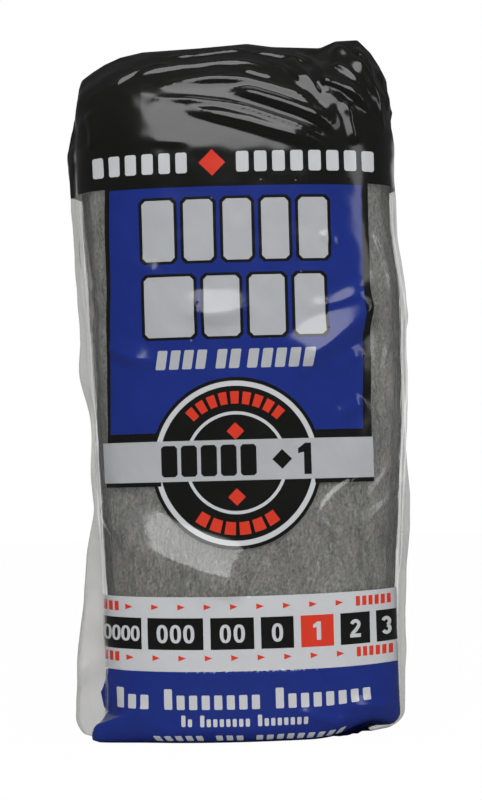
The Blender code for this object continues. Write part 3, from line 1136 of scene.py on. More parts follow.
@dataclass(frozen=True)
class Folds:
    """Creases of the film. Each is given as seen from the front, in millimetres."""

    top: Tuple[Crease, ...] = (
        Crease((-2.0, 211.0), (18.6, 208.0), (35.0, 197.6), 2.5, 2.5, 0.3),
        Crease((-16.4, 206.0), (7.4, 199.5), (31.0, 192.7), 2.1, 2.4, 0.3),
        Crease((-27.0, 210.2), (3.0, 208.0), (34.0, 193.4), 1.1, 1.3, 0.2),
        Crease((-25.0, 214.5), (8.0, 218.0), (29.5, 205.0), 1.9, 1.9, 0.2),
        Crease((-7.7, 218.4), (0.0, 217.4), (7.6, 215.2), 0.6, 1.2, 0.0),
        Crease((3.8, 218.8), (9.0, 218.6), (14.0, 217.0), 0.6, 1.1, 0.0),
        Crease((-33.0, 219.5), (-14.0, 224.5), (16.0, 221.0), 1.1, 1.8, 0.2),
        Crease((-22.0, 226.5), (-8.0, 228.2), (8.0, 227.0), 0.9, 1.2, 0.0),
        Crease((-40.0, 217.0), (-31.0, 223.0), (-18.0, 224.5), 0.8, 1.2, 0.0),
        Crease((6.0, 226.5), (16.0, 227.0), (27.0, 223.5), 0.9, 1.2, 0.0),
        Crease((27.0, 215.9), (38.0, 212.0), (45.7, 203.4), 1.8, 2.0, 0.4),
        Crease((29.0, 211.0), (36.0, 208.0), (41.0, 200.0), 0.7, 1.3, 0.0),
        Crease((20.0, 226.0), (23.0, 218.0), (30.0, 208.0), 1.3, 1.6, -0.3),
        Crease((25.0, 228.0), (29.0, 221.0), (32.0, 210.0), 1.1, 1.5, 0.2),
        Crease((12.0, 224.0), (20.0, 220.0), (24.0, 213.0), 0.8, 1.4, 0.2),
        Crease((33.0, 229.0), (42.0, 224.0), (48.5, 208.0), 1.5, 2.0, -0.3),
        Crease((40.0, 229.0), (46.5, 220.0), (50.5, 200.0), 1.0, 1.6, 0.2),
        Crease((33.0, 222.0), (38.0, 219.0), (44.0, 211.0), 0.9, 1.3, 0.0),
        Crease((-48.0, 212.0), (-44.0, 204.0), (-46.5, 193.0), 0.9, 2.4, 0.2),
        Crease((-31.5, 195.2), (-22.0, 195.8), (-12.5, 194.0), 0.45, 2.0, 0.2, 0.4),
        Crease((36.0, 207.0), (39.5, 201.0), (40.0, 192.0), 1.0, 2.0, 0.0),
    )
    front: Tuple[Crease, ...] = (
        Facet((17.0, 120.0), (35.0, 130.0), (48.0, 145.5), 3.0, 10.5, taper=0.24),
        Crease((22.0, 139.5), (34.0, 141.0), (44.0, 146.5), 0.60, 2.0, 0.3),
        Crease((26.0, 119.0), (34.0, 121.0), (41.0, 126.0), 0.70, 2.6, 0.3),
        Crease((30.0, 104.5), (36.0, 105.5), (41.0, 110.0), 0.80, 2.2, 0.3),
        Facet((-21.0, 139.5), (-6.0, 136.0), (9.0, 141.0), 1.9, 8.0, taper=0.45),
        Facet((-43.0, 131.0), (-37.0, 124.0), (-24.0, 123.0), 1.7, 6.0, taper=0.40),
        Crease((-35.0, 158.0), (-30.0, 153.0), (-24.0, 152.0), 0.60, 2.4, 0.3),
        Facet((-45.0, 80.0), (-33.0, 59.0), (4.0, 51.0), 3.9, 13.4, taper=0.12, swell=0.25),
        Crease((38.0, 84.5), (27.0, 79.5), (25.2, 72.0), 0.9, 1.0, 0.0, 0.15),
        Crease((25.6, 74.0), (25.5, 65.0), (37.0, 69.5), 0.9, 1.0, 0.0, 0.15),
        Crease((34.5, 68.5), (46.0, 73.0), (53.0, 86.0), 1.0, 1.1, 0.0, 0.15),
        Crease((39.0, 78.0), (45.0, 80.0), (50.0, 92.0), 0.60, 1.2, 0.2),
        Crease((28.0, 164.5), (30.0, 161.0), (33.5, 160.5), 0.60, 1.8, 0.3),
        Crease((-53.0, 168.0), (-49.0, 152.0), (-44.0, 141.0), 0.80, 1.0, 0.0),
        Crease((-49.5, 142.0), (-44.5, 140.0), (-47.0, 128.0), 0.60, 0.9, 0.0),
        Crease((-50.0, 120.0), (-46.0, 108.0), (-47.0, 92.0), 0.70, 1.6, 0.0),
        Crease((45.0, 166.0), (49.5, 156.0), (51.0, 140.0), 0.80, 1.4, 0.3),
        Crease((44.5, 141.5), (47.0, 140.0), (49.5, 142.5), 0.80, 1.6, 0.0),
        Crease((50.0, 130.0), (46.5, 121.0), (47.5, 108.0), 0.50, 0.9, 0.0),
        Crease((-45.0, 26.0), (-43.0, 16.0), (-46.0, 6.0), 0.80, 1.6, 0.3),
        Crease((-46.5, 3.0), (-38.0, 8.0), (-31.0, 13.0), 0.90, 1.8, -0.3),
        Crease((-36.0, 3.0), (-10.0, 6.5), (18.0, 4.0), 0.60, 1.8, 0.3),
        Crease((14.0, 10.0), (24.0, 9.5), (33.0, 3.5), 0.90, 2.0, 0.3),
        Crease((30.0, 12.0), (40.0, 8.0), (48.0, 10.0), 0.80, 2.2, 0.2),
        Crease((-34.0, 21.5), (0.0, 23.0), (26.0, 21.0), 0.30, 1.8, 0.0),
    )
    back_seed: int = 11
    back_count: int = 26

    def back(self, half_girth: float) -> List[Crease]:
        """Creases over the back and sides, in sheet millimetres, chosen by a fixed seed.

        Args:
            half_girth: Half the way round the bag.

        Returns:
            The creases.
        """
        rng = np.random.default_rng(self.back_seed)
        made = []
        for _ in range(self.back_count):
            across = rng.uniform(68.0, half_girth - 6.0) * rng.choice((-1.0, 1.0))
            rise = rng.uniform(12.0, 232.0)
            angle = rng.uniform(-1.0, 1.0) * (0.7 if rise < 185.0 else 1.2) + math.pi / 2
            reach = rng.uniform(10.0, 26.0)
            dx, dy = math.cos(angle) * reach, math.sin(angle) * reach
            aside, upward = rng.uniform(-5.0, 5.0, 2)
            start, end = (across - dx, rise - dy), (across + dx, min(rise + dy, 238.0))
            height, half_width = rng.uniform(0.6, 1.2), rng.uniform(1.5, 2.6)
            made.append(Crease(start, (across + aside, rise + upward), end, height, half_width, 0.3))
        return made


@dataclass
class FilmBag:
    """The film: flat sheet, its print, its creases and its closed base. Lengths in millimetres."""

    form: BagForm
    artwork: Artwork
    folds: Folds
    # How far from the middle the sheet is cut finer, as a share of half the girth and as a
    # distance; then the steps of its triangles and the room round outlines and fins
    front_share: float = 0.57
    inner: float = 60.0
    fine: float = 0.62
    middle: float = 0.88
    sides: float = 1.30
    coarse: float = 2.3
    outline_step: float = 1.0
    outline_gap: float = 0.42
    fin_step: float = 1.2
    fin_zone: float = 5.6
    # How far the film may sink, and how its lift and its print end at the ridge and the base
    most_in: float = -0.34
    ridge_fade: float = 3.0
    base_fade: float = 3.0
    middle_rise: float = 40.7
    print_reach: float = 0.9955
    # Sag of the print in the middle: depth, where it starts, over which heights, half-width
    sag: float = 0.9
    sag_start: float = 75.0
    sag_run: float = 27.0
    sag_base: float = 6.0
    sag_half_width: float = 48.0
    # Closed base: share of the way out of each ring, and half-width of its blue part in metres
    base_rings: Tuple[float, ...] = (0.93, 0.82, 0.66, 0.46, 0.22)
    base_blue: float = 0.047

    def __post_init__(self) -> None:
        """Measure the surface that the sheet will follow."""
        self.surface = FilmSurface(self.form)
        self.sheet = SheetMap(self.surface)
        self.half_girth = self.sheet.half_girth / MM
        self.top = self.form.top / MM
        self.settle()

    def settle(self) -> None:
        """Slide the surface so that it is centred on the solid bag."""
        around = np.linspace(-math.pi, math.pi, 361)
        turns, rises = np.meshgrid(around, np.linspace(0.0, self.form.top, 200))
        own = self.surface.smooth(turns.ravel(), rises.ravel())
        low, high = (np.array(corner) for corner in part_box("film_bag"))
        shift = (low + high) / 2 - (own.min(axis=0) + own.max(axis=0)) / 2
        self.surface.slide = (shift[0], shift[1], 0.0)
        LOG.info("film slid by %s mm, %.1f mm high", np.round(shift / MM, 2), own[:, 2].max() / MM)

    def risen(self, height: float) -> float:
        """Place up the sheet of what is seen at a height on the front."""
        shoulder = self.form.shoulder / MM
        if height <= shoulder:
            return height
        share = min((height - shoulder) / self.middle_rise, 1.0)
        over = np.linspace(0.0, math.pi / 2, 91)
        turned = float(np.interp(share, self.surface.climb(over), over))
        return shoulder + self.form.top_length / MM * turned / (math.pi / 2)

    def laid(self, point: Point2) -> Point2:
        """Place on the sheet of a point seen from the front."""
        x, height = point
        held = min(max(height, 0.0), self.form.shoulder / MM) * MM
        centre = self.surface.slide[0]
        sign = 1.0 if x * MM >= centre else -1.0
        width = self.surface.half_width(np.array([sign]), np.array([held]), self.form.film_offset)[0]
        share = min(abs(x * MM - centre) / width, self.print_reach)
        turn = sign * math.asin(share ** (self.form.exponent / 2.0))
        slack = min(max((self.sag_start - height) / self.sag_run, 0.0), 1.0)
        slack *= min(height / self.sag_base, 1.0)
        height -= self.sag * slack * max(1.0 - (x / self.sag_half_width) ** 2, 0.0)
        return float(self.sheet.sheet(np.array([turn]))[0]) / MM, min(self.risen(height), self.top)

    def side_place(self, degrees: float) -> float:
        """Place across the sheet of a turn in degrees, in millimetres."""
        return float(self.sheet.sheet(np.array([math.radians(degrees)]))[0]) / MM

    def folded_sides(self) -> List[Field]:
        """Cloudy film, folded double along both sides, and the blue that wraps round the base."""
        top = self.artwork.top_band
        left = ((-102.0, 0.0), (-84.0, 0.0), (-83.0, 70.0), (-66.0, 118.0))
        left += ((-64.0, 150.0), (-70.0, top), (-98.0, top))
        right = ((86.5, 0.0), (95.0, 0.0), (95.0, top), (86.5, top))
        blue = ((-70.0, 24.0), (-82.0, 23.4), (-85.2, 19.5), (-86.8, 15.5), (-86.0, 11.0))
        blue += ((-84.0, 8.6), (-84.6, 6.0), (-86.8, 2.2), (-88.0, 0.0), (-70.0, 0.0))
        return [
            Field(ink, tuple((self.side_place(degrees), height) for degrees, height in corners), True)
            for ink, corners in ((Ink.FROST, left), (Ink.FROST, right), (Ink.BLUE, blue))
        ]

    def fin_lattice(self) -> np.ndarray:
        """Close columns of points along both sides, where the film stands out as a fin."""
        offsets = (0.0, 0.4, 0.9, 1.5, 2.2, 3.0, 4.0, 5.0)
        columns = sorted({90.0 + sign * offset for offset in offsets for sign in (-1.0, 1.0)})
        rows = np.arange(1.0, self.top - 0.8, self.fin_step)
        made = [
            np.stack([np.full_like(rows, sign * self.side_place(degrees)), rows + 0.3 * (n % 2)], axis=1)
            for sign in (-1.0, 1.0)
            for n, degrees in enumerate(columns)
        ]
        return np.concatenate(made)

    def outline(self, field: Field) -> List[Point2]:
        """Outline of a field on the sheet, with points close enough to follow its bends."""
        corners = np.array(field.outline)
        nexts = np.roll(corners, -1, axis=0)
        points: List[Point2] = []
        for start, end in zip(corners, nexts):
            steps = max(1, int(math.hypot(*(end - start)) / self.outline_step))
            for n in range(steps):
                points.append(tuple((start + (end - start) * n / steps).tolist()))
        if not field.wraps:
            return self.counter_clockwise([self.laid(point) for point in points])
        reach = self.half_girth
        held = [(min(max(x, -reach), reach), min(max(z, 0.0), self.top)) for x, z in points]
        return self.counter_clockwise(held)

    @staticmethod
    def counter_clockwise(loop: List[Point2]) -> List[Point2]:
        """Turn an outline round where it runs clockwise, so that its inside is filled."""
        line = np.array(loop)
        nexts = np.roll(line, -1, axis=0)
        area = float(np.sum(line[:, 0] * nexts[:, 1] - nexts[:, 0] * line[:, 1]))
        return loop if area > 0.0 else loop[::-1]

    def lattice(self, rng: Any, step: float, across: Point2, upward: Point2) -> np.ndarray:
        """Slightly uneven points of a triangular lattice in a rectangle.

        Args:
            rng: Source of the unevenness.
            step: Distance between points.
            across: Left and right edge.
            upward: Bottom and top edge.

        Returns:
            One row for each point.
        """
        (left, right), (bottom, top) = across, upward
        rows = np.arange(bottom, top, step * ROW_SHARE)
        x, y = np.meshgrid(np.arange(left, right, step), rows)
        x = x + (np.arange(len(rows)) % 2)[:, None] * step / 2
        points = np.stack([x.ravel(), y.ravel()], axis=1)
        points += rng.uniform(-0.12, 0.12, points.shape) * step
        inside = (points[:, 0] > left + 0.3 * step) & (points[:, 0] < right - 0.3 * step)
        inside &= (points[:, 1] > bottom + 0.3 * step) & (points[:, 1] < top - 0.3 * step)
        return points[inside]

    def border(self) -> np.ndarray:
        """Points round the sheet's edge, alike on the edges that meet."""
        reach, top = self.half_girth, self.top
        quarter = np.linspace(0.0, math.pi / 2, int(reach / 2 / 1.25))
        half = np.concatenate([quarter, math.pi - quarter[-2::-1]])
        turns = np.concatenate([-half[:0:-1], half])
        columns = self.sheet.sheet(turns) / MM
        columns[0], columns[-1] = -reach, reach
        bottom = np.linspace(-reach, reach, int(2 * reach / 1.5))
        vent, radius = self.form.vent_height / MM, self.form.vent_radius / MM
        under, over = np.arange(2.0, vent - radius - 1.0, 2.0), np.arange(vent + radius + 2.0, top - 1.0, 2.0)
        sides = np.concatenate([under, [vent - radius, vent + radius], over])
        edges = [np.stack([columns, np.full_like(columns, top)], 1)]
        edges += [np.stack([bottom, np.zeros_like(bottom)], 1)]
        edges += [np.stack([np.full_like(sides, side), sides], 1) for side in (-reach, reach)]
        return np.concatenate(edges)

    def vent(self) -> List[List[Point2]]:
        """The two halves of the round vent, which meet at the seam in the back."""
        reach = self.half_girth
        height, radius = self.form.vent_height / MM, self.form.vent_radius / MM
        bends = [math.pi / 2 - math.pi * n / 10 for n in range(11)]
        right = [(-reach + radius * abs(math.cos(a)), height + radius * math.sin(a)) for a in bends]
        right[0], right[-1] = (-reach, height + radius), (-reach, height - radius)
        return [right[::-1], [(-x, z) for x, z in right]]

    def cut(self) -> Tuple[np.ndarray, List[Face], List[Ink]]:
        """Cut the sheet into triangles along every printed outline.

        Returns:
            The points on the sheet, the triangles, and the ink of each.
        """
        rng = np.random.default_rng(5)
        reach, split = self.half_girth, self.half_girth * self.front_share
        shoulder = self.form.shoulder / MM - 4.0
        inner, whole = self.inner, (0.0, self.top)
        parts = (
            (self.middle, (-inner, inner), (0.0, shoulder)),
            (self.fine, (-inner, inner), (shoulder, self.top)),
            (self.sides, (-split, -inner), whole),
            (self.sides, (inner, split), whole),
            (self.coarse, (-reach, -split), whole),
            (self.coarse, (split, reach), whole),
        )
        grids = [self.lattice(rng, *part) for part in parts]
        fields = self.folded_sides() + self.artwork.fields()
        loops = [self.outline(field) for field in fields]
        loops += [self.counter_clockwise(loop) for loop in self.vent()]
        inks = [field.ink for field in fields] + [Ink.HOLE, Ink.HOLE]
        lines = np.concatenate([np.array(loop) for loop in loops])
        loose = np.concatenate(grids)
        near_fin = np.abs(np.abs(loose[:, 0]) - self.side_place(90.0)) < self.fin_zone
        grid = self.cleared(np.concatenate([loose[~near_fin], self.fin_lattice()]), lines)
        border = self.border()
        points = [Vector(p) for p in np.concatenate([border, grid]).tolist()]
        faces = []
        for loop in loops:
            first = len(points)
            points += [Vector(point) for point in loop]
            faces.append(list(range(first, len(points))))
        found = delaunay_2d_cdt(points, [], faces, 0, 1e-4)
        flat = np.array([tuple(v) for v in found[0]])
        triangles = [tuple(face) for face in found[2]]
        chosen = [inks[max(owners)] if owners else Ink.CLEAR for owners in found[5]]
        return flat, triangles, chosen

    def cleared(self, grid: np.ndarray, lines: np.ndarray) -> np.ndarray:
        """Drop grid points that lie too close to a printed outline."""
        gap = self.outline_gap
        cells = {(int(x), int(y)) for x, y in np.floor(lines / gap).tolist()}
        keys = np.floor(grid / gap).astype(int)
        keep = [(x, y) not in cells for x, y in keys.tolist()]
        return grid[np.array(keep)]

    def lift(self, flat: np.ndarray) -> np.ndarray:
        """How far each point of the sheet is lifted off the smooth film, in metres."""
        across, rise = flat[:, 0], flat[:, 1]
        total = np.zeros(len(flat))
        for crease in self.folds.top + self.folds.front:
            start, bend, end = (self.laid(point) for point in (crease.start, crease.bend, crease.end))
            total += replace(crease, start=start, bend=bend, end=end).lift(across, rise)
        for crease in self.folds.back(self.half_girth):
            total += crease.lift(across, rise)
        total += self.waves(across, rise)
        fade = np.clip((self.top - rise) / self.ridge_fade, 0.0, 1.0)
        fade *= np.clip(rise / self.base_fade, 0.25, 1.0)
        return np.maximum(total, self.most_in) * fade * MM

    def waves(self, across: np.ndarray, rise: np.ndarray) -> np.ndarray:
        """Low waves of the whole film, stronger over the top and the sides, in millimetres."""
        slack = Ripple(21, 26.0, 0.20).lift(across, rise)
        crinkle = Ripple(22, 9.0, 0.045, 18).lift(across, rise)
        pleats = Ripple(23, 7.0, 0.30).lift(across, rise * 0.35)
        over = np.clip((rise - 196.0) / 30.0, 0.0, 1.0)
        beside = np.clip((np.abs(across) - 42.0) / 18.0, 0.0, 1.0)
        gathered = over * np.clip((across - 6.0) / 18.0, 0.12, 1.0)
        slack = slack * (0.5 + 0.5 * beside + 0.4 * over)
        return 0.12 + slack + crinkle * (0.7 + 0.5 * over) + pleats * gathered

    def build(self, finishes: Sequence[bpy.types.Material]) -> bpy.types.Object:
        """Make the film.

        Args:
            finishes: A material for each ink, in the inks' order.

        Returns:
            The film's object.
        """
        flat, triangles, inks = self.cut()
        turns = self.sheet.turn(flat[:, 0] * MM)
        rises = flat[:, 1] * MM
        points = self.surface.smooth(turns, rises)
        points = points + self.surface.normal(turns, rises) * self.lift(flat)[:, None]
        points[:, 2] = np.maximum(points[:, 2], 0.0)
        kept = [(face, ink) for face, ink in zip(triangles, inks) if ink is not Ink.HOLE]
        faces = [face for face, _ in kept]
        slots = [ink.value for _, ink in kept]
        points, faces, slots = self.close_base(flat, points, faces, slots)
        mesh = bpy.data.meshes.new("clear printed film")
        mesh.from_pydata(points.tolist(), [], faces)
        for finish in finishes:
            mesh.materials.append(finish)
        mesh.polygons.foreach_set("material_index", slots)
        return self.welded(mesh)

    def close_base(
        self, flat: np.ndarray, points: np.ndarray, faces: List[Face], slots: List[int]
    ) -> Tuple[np.ndarray, List[Face], List[int]]:
        """Close the base with rings that shrink to its middle.

        Args:
            flat: Points on the sheet.
            points: The same points in space.
            faces: Faces so far.
            slots: Material slot of each face.

        Returns:
            The points, faces and slots with the base added.
        """
        rim = np.where(flat[:, 1] < 1e-5)[0]
        rim = rim[np.argsort(flat[rim, 0])]
        loop = points[rim]
        middle = np.array([loop[:, 0].mean(), self.surface.slide[1], 0.0])
        angles = np.linspace(0.0, 2 * math.pi, len(rim))
        last = rim
        sides = list(zip(range(len(rim) - 1), range(1, len(rim))))
        for n, share in enumerate(self.base_rings):
            pucker = 0.35 + 0.25 * np.sin(angles * (17 - 2 * n) + n) + 0.15 * np.sin(angles * 31 + 2 * n)
            ring = middle + (loop - middle) * share
            ring[:, 2] = pucker * MM * (0.6 if n == 0 else 1.0)
            fresh = np.arange(len(points), len(points) + len(rim))
            points = np.concatenate([points, ring])
            for a, b in sides:
                faces.append((int(last[b]), int(last[a]), int(fresh[a]), int(fresh[b])))
                blue = abs(loop[a, 0]) < self.base_blue
                slots.append(Ink.BLUE.value if blue else Ink.CLEAR.value)
            last = fresh
        hub = len(points)
        points = np.concatenate([points, middle[None, :] + np.array([[0.0, 0.0, 0.0004]])])
        faces += [(int(last[b]), int(last[a]), hub) for a, b in sides]
        slots += [Ink.BLUE.value] * len(sides)
        return points, faces, slots

    @staticmethod
    def welded(mesh: bpy.types.Mesh) -> bpy.types.Object:
        """Join the edges of the sheet that meet, and smooth the film."""
        shell = bmesh.new()
        shell.from_mesh(mesh)
        bmesh.ops.remove_doubles(shell, verts=shell.verts, dist=0.00002)
        bmesh.ops.dissolve_degenerate(shell, edges=shell.edges, dist=1e-7)
        bmesh.ops.triangulate(shell, faces=[face for face in shell.faces if len(face.verts) > 4])
        for face in shell.faces:
            face.smooth = True
        shell.to_mesh(mesh)
        shell.free()
        LOG.info("film: %d faces", len(mesh.polygons))
        return linked("film_bag_look", mesh)


@dataclass
class WoolPad(Section):
    """One felted pad of the stack with its loose fibres. Its number counts from 0 at the front."""

    number: int = 0
    top_curve: float = 0.0396
    corner_lift: float = 1.15
    # Faces across and up a pad that shows its face, and one that shows its ends only
    outer_mesh: Tuple[int, int] = (96, 170)
    inner_mesh: Tuple[int, int] = (40, 90)
    # Loose fibres on the front face, on the back face, and along each edge
    front_fibres: int = 1700
    back_fibres: int = 900
    edge_fibres: int = 70
    fibre_steps: int = 9
    fibre_length: Point2 = (0.006, 0.030)
    # Depth of the felt's face and its limit, in millimetres
    felt_depth: float = 0.22
    felt_limit: float = 0.7

    def __post_init__(self) -> None:
        """Place the pad in the stack."""
        super().__post_init__()
        form = self.form
        self.centre = -form.half_depth + (self.number + 0.5) * form.pitch - form.pad_gap / 2
        self.outer = self.number in (0, form.pad_count - 1)
        self.end = self.end_share()

    def pinch(self, share: np.ndarray) -> np.ndarray:
        """Share of the stack's depth that is left at a share of its width."""
        power = self.form.exponent
        return np.clip(1.0 - np.abs(share) ** power, 0.0, 1.0) ** (1.0 / power)

    def end_share(self) -> float:
        """Share of the width at which the pad ends."""
        share = np.linspace(0.0, 0.985, 400)
        line = np.stack([share * self.form.half_width, self.centre * self.pinch(share)], axis=1)
        length = SheetMap.measured(line)
        return float(np.interp(self.form.pad_width / 2 + self.form.end_rounding * 0.6, length, share))

    def at(self, share: np.ndarray, side: np.ndarray, height: np.ndarray) -> np.ndarray:
        """Points of the pad.

        Args:
            share: Share of the stack's half-width, negative to the left.
            side: -1 on the pad's front face, 1 on its back, 0 in its middle.
            height: Height of each point.

        Returns:
            One row for each point.
        """
        form = self.form
        reach = form.base_tuck + form.base_tuck_right
        drawn_in = self.tuck(height, form.film_offset, reach)
        pinch = self.pinch(share)
        x = share * (self.half_width(share, np.minimum(height, form.shoulder), 0.0) - drawn_in)
        depth = (form.half_depth - drawn_in) / form.half_depth
        left = np.clip((self.end - np.abs(share)) * form.half_width / form.end_rounding, 0.0, 1.0)
        round_off = np.sqrt(np.clip(1.0 - (1.0 - left) ** 2, 0.0, 1.0))
        half = (form.pitch * pinch - form.pad_gap) / 2 * round_off
        y = self.centre * pinch * depth + side * half * depth
        over = np.clip((height - form.shoulder) / self.top_curve, 0.0, 1.0)
        drawn = np.sqrt(1.0 - over**2)
        turned_up = self.turned_up(x, -y / form.half_depth, height)
        z = height + form.corner_rise * self.corner_lift * turned_up
        return np.stack([x * drawn, y * drawn, z], axis=-1) + self.slide

    def felt(self, share: np.ndarray, height: np.ndarray) -> np.ndarray:
        """How far the felt sinks below the pad's face, in metres."""
        across, rise = share * 54.0, height / MM
        tufts = Ripple(40 + self.number, 5.0, 0.10, 16).lift(across, rise * 0.35)
        clumps = Ripple(60 + self.number, 17.0, 0.12).lift(across, rise)
        return np.clip(self.felt_depth + tufts + clumps, 0.0, self.felt_limit) * MM

    def body(self) -> Tuple[np.ndarray, List[Face]]:
        """Closed body of the pad.

        Returns:
            The points and the faces.
        """
        across, rows = self.outer_mesh if self.outer else self.inner_mesh
        bend = np.sin(np.linspace(-math.pi / 2, math.pi / 2, across + 1))
        line = 0.55 * bend + 0.45 * np.linspace(-1.0, 1.0, across + 1)
        share = np.concatenate([line, line[-2:0:-1]]) * self.end
        side = np.concatenate([-np.ones(across + 1), np.ones(across - 1)])
        side[[0, across]] = 0.0
        rise = np.linspace(0.0, 1.0, rows + 1)
        heights = self.form.film_offset + rise * (self.form.stack_top - self.form.film_offset)
        shares, levels = np.meshgrid(share, heights)
        sides = np.broadcast_to(side, shares.shape)
        points = self.at(shares, sides, levels)
        sink = self.felt(shares, levels)
        points[..., 1] -= np.sign(sides) * sink
        ends = np.abs(shares) > self.end - 0.03
        points[..., 0] -= np.where(ends, np.sign(shares) * sink, 0.0)
        count = len(share)
        top = rows * count
        faces = []
        for low in range(0, top, count):
            for c in range(count):
                after = (c + 1) % count
                faces.append((low + c, low + after, low + count + after, low + count + c))
        for c in range(1, across - 1):
            far, far_next = count - c, count - c - 1
            faces.append((c + 1, c, far, far_next))
            faces.append((top + c, top + c + 1, top + far_next, top + far))
        faces += [(1, 0, count - 1), (across, across - 1, across + 1)]
        faces.append((top, top + 1, top + count - 1))
        faces.append((top + across - 1, top + across, top + across + 1))
        return points.reshape(-1, 3), faces

    def fibres(self, rng: Any) -> Tuple[np.ndarray, np.ndarray]:
        """Loose fibres as thin three-sided tubes.

        Args:
            rng: Source of the fibres' places.

        Returns:
            The points and the faces.
        """
        groups = []
        if self.outer:
            front = self.number == 0
            groups.append((self.front_fibres, -1.0, 0.0) if front else (self.back_fibres, 1.0, 0.0))
        groups += [(self.edge_fibres, side, end) for side in (-1.0, 1.0) for end in (-1.0, 1.0)]
        points, faces, used = [], [], 0
        for count, side, end in groups:
            lines, outward = self.lines(rng, count, side, end)
            tubes, quads = self.tubes(lines, outward, rng)
            points.append(tubes)
            faces.append(quads + used)
            used += len(tubes)
        return np.concatenate(points), np.concatenate(faces)

    def lines(self, rng: Any, count: int, side: float, end: float) -> Tuple[np.ndarray, np.ndarray]:
        """Middle lines of fibres on one face, or near one end.

        Args:
            rng: Source of the fibres' places.
            count: How many fibres.
            side: -1 on the front face, 1 on the back.
            end: -1 or 1 for fibres near that end, 0 for the whole face.

        Returns:
            The lines, and which way is out at each of their points.
        """
        form, steps = self.form, self.fibre_steps
        share = rng.uniform(-0.97, 0.97, count) if end == 0.0 else end * rng.uniform(0.9, 0.995, count)
        share = share * self.end
        height = rng.uniform(form.film_offset + 0.004, form.stack_top - 0.008, count)
        length = rng.uniform(*self.fibre_length, count)
        angle = math.pi / 2 + rng.normal(0.0, 0.30, count)
        curl = rng.normal(0.0, 0.5, count)
        curl = curl + np.where(rng.uniform(size=count) < 0.15, rng.normal(0.0, 3.0, count), 0.0)
        shares, heights = [share], [height]
        for n in range(steps):
            way = angle + curl * (n / steps)
            share = share + np.cos(way) * length / steps / form.half_width
            height = height + np.sin(way) * length / steps
            shares.append(share)
            heights.append(height)
        across = np.clip(np.stack(shares, 1), -self.end * 0.998, self.end * 0.998)
        rise = np.clip(np.stack(heights, 1), form.film_offset + 0.001, form.stack_top - 0.001)
        sides = np.full_like(across, side)
        near = self.at(across, sides, rise)
        far = self.at(across * 0.98, sides * 0.8, rise)
        outward = near - far
        outward /= np.maximum(np.linalg.norm(outward, axis=-1, keepdims=True), 1e-9)
        loose = rng.uniform(-0.25, 0.22, (count, 1))
        loose = loose + 0.18 * np.sin(np.linspace(0, math.pi, steps + 1))[None, :]
        return near + outward * (loose * MM)[..., None], outward

    @staticmethod
    def tubes(lines: np.ndarray, outward: np.ndarray, rng: Any) -> Tuple[np.ndarray, np.ndarray]:
        """Wrap lines in three-sided tubes.

        Args:
            lines: Middle lines.
            outward: Which way is out at each point.
            rng: Source of the fibres' thickness.

        Returns:
            The points and the faces.
        """
        count, steps = lines.shape[:2]
        along = np.gradient(lines, axis=1)
        along /= np.maximum(np.linalg.norm(along, axis=-1, keepdims=True), 1e-12)
        across = np.cross(along, outward)
        across /= np.maximum(np.linalg.norm(across, axis=-1, keepdims=True), 1e-12)
        over = np.cross(across, along)
        radius = (rng.uniform(0.030, 0.055, (count, 1)) * MM)[..., None]
        corners = []
        for corner in range(3):
            a = 2 * math.pi * corner / 3 + math.pi / 2
            corners.append(lines + radius * (math.cos(a) * across + math.sin(a) * over))
        points = np.stack(corners, axis=2).reshape(-1, 3)
        spans = (np.arange(count), np.arange(steps - 1), np.arange(3))
        fibre, step, corner = np.meshgrid(*spans, indexing="ij")
        here = (fibre * steps + step) * 3
        turn = (corner + 1) % 3
        quads = np.stack([here + corner, here + turn, here + 3 + turn, here + 3 + corner], axis=-1)
        return points, quads.reshape(-1, 4)

    def build(self, felt: bpy.types.Material, steel: bpy.types.Material) -> bpy.types.Object:
        """Make the pad.

        Args:
            felt: Material of the body.
            steel: Material of the fibres.

        Returns:
            The pad's object.
        """
        points, faces = self.body()
        strands, quads = self.fibres(np.random.default_rng(100 + self.number))
        every = faces + [tuple(quad) for quad in (quads + len(points)).tolist()]
        mesh = bpy.data.meshes.new("steel wool")
        mesh.from_pydata(np.concatenate([points, strands]).tolist(), [], every)
        mesh.materials.append(felt)
        mesh.materials.append(steel)
        mesh.polygons.foreach_set("material_index", [0] * len(faces) + [1] * len(quads))
        mesh.polygons.foreach_set("use_smooth", [True] * len(every))
        LOG.info("pad %d: %d faces", self.number + 1, len(mesh.polygons))
        return linked(f"wool_pad_{self.number + 1:02d}_look", mesh)


@dataclass(frozen=True)
class Softbox:
    """One rectangular area light, pointed at the middle of the object at a height."""

    name: str
    place: Point2
    height: float
    aim: float
    size: Point2
    watts: float

    def hang(self) -> None:
        """Add the light to the scene."""
        data = bpy.data.lights.new(self.name, "AREA")
        data.shape = "RECTANGLE"
        data.size, data.size_y = self.size
        data.energy = self.watts
        lamp = linked(self.name, data)
        lamp.location = (*self.place, self.height)
        way = Vector((0.0, 0.0, self.aim)) - lamp.location
        lamp.rotation_euler = way.to_track_quat("-Z", "Y").to_euler()


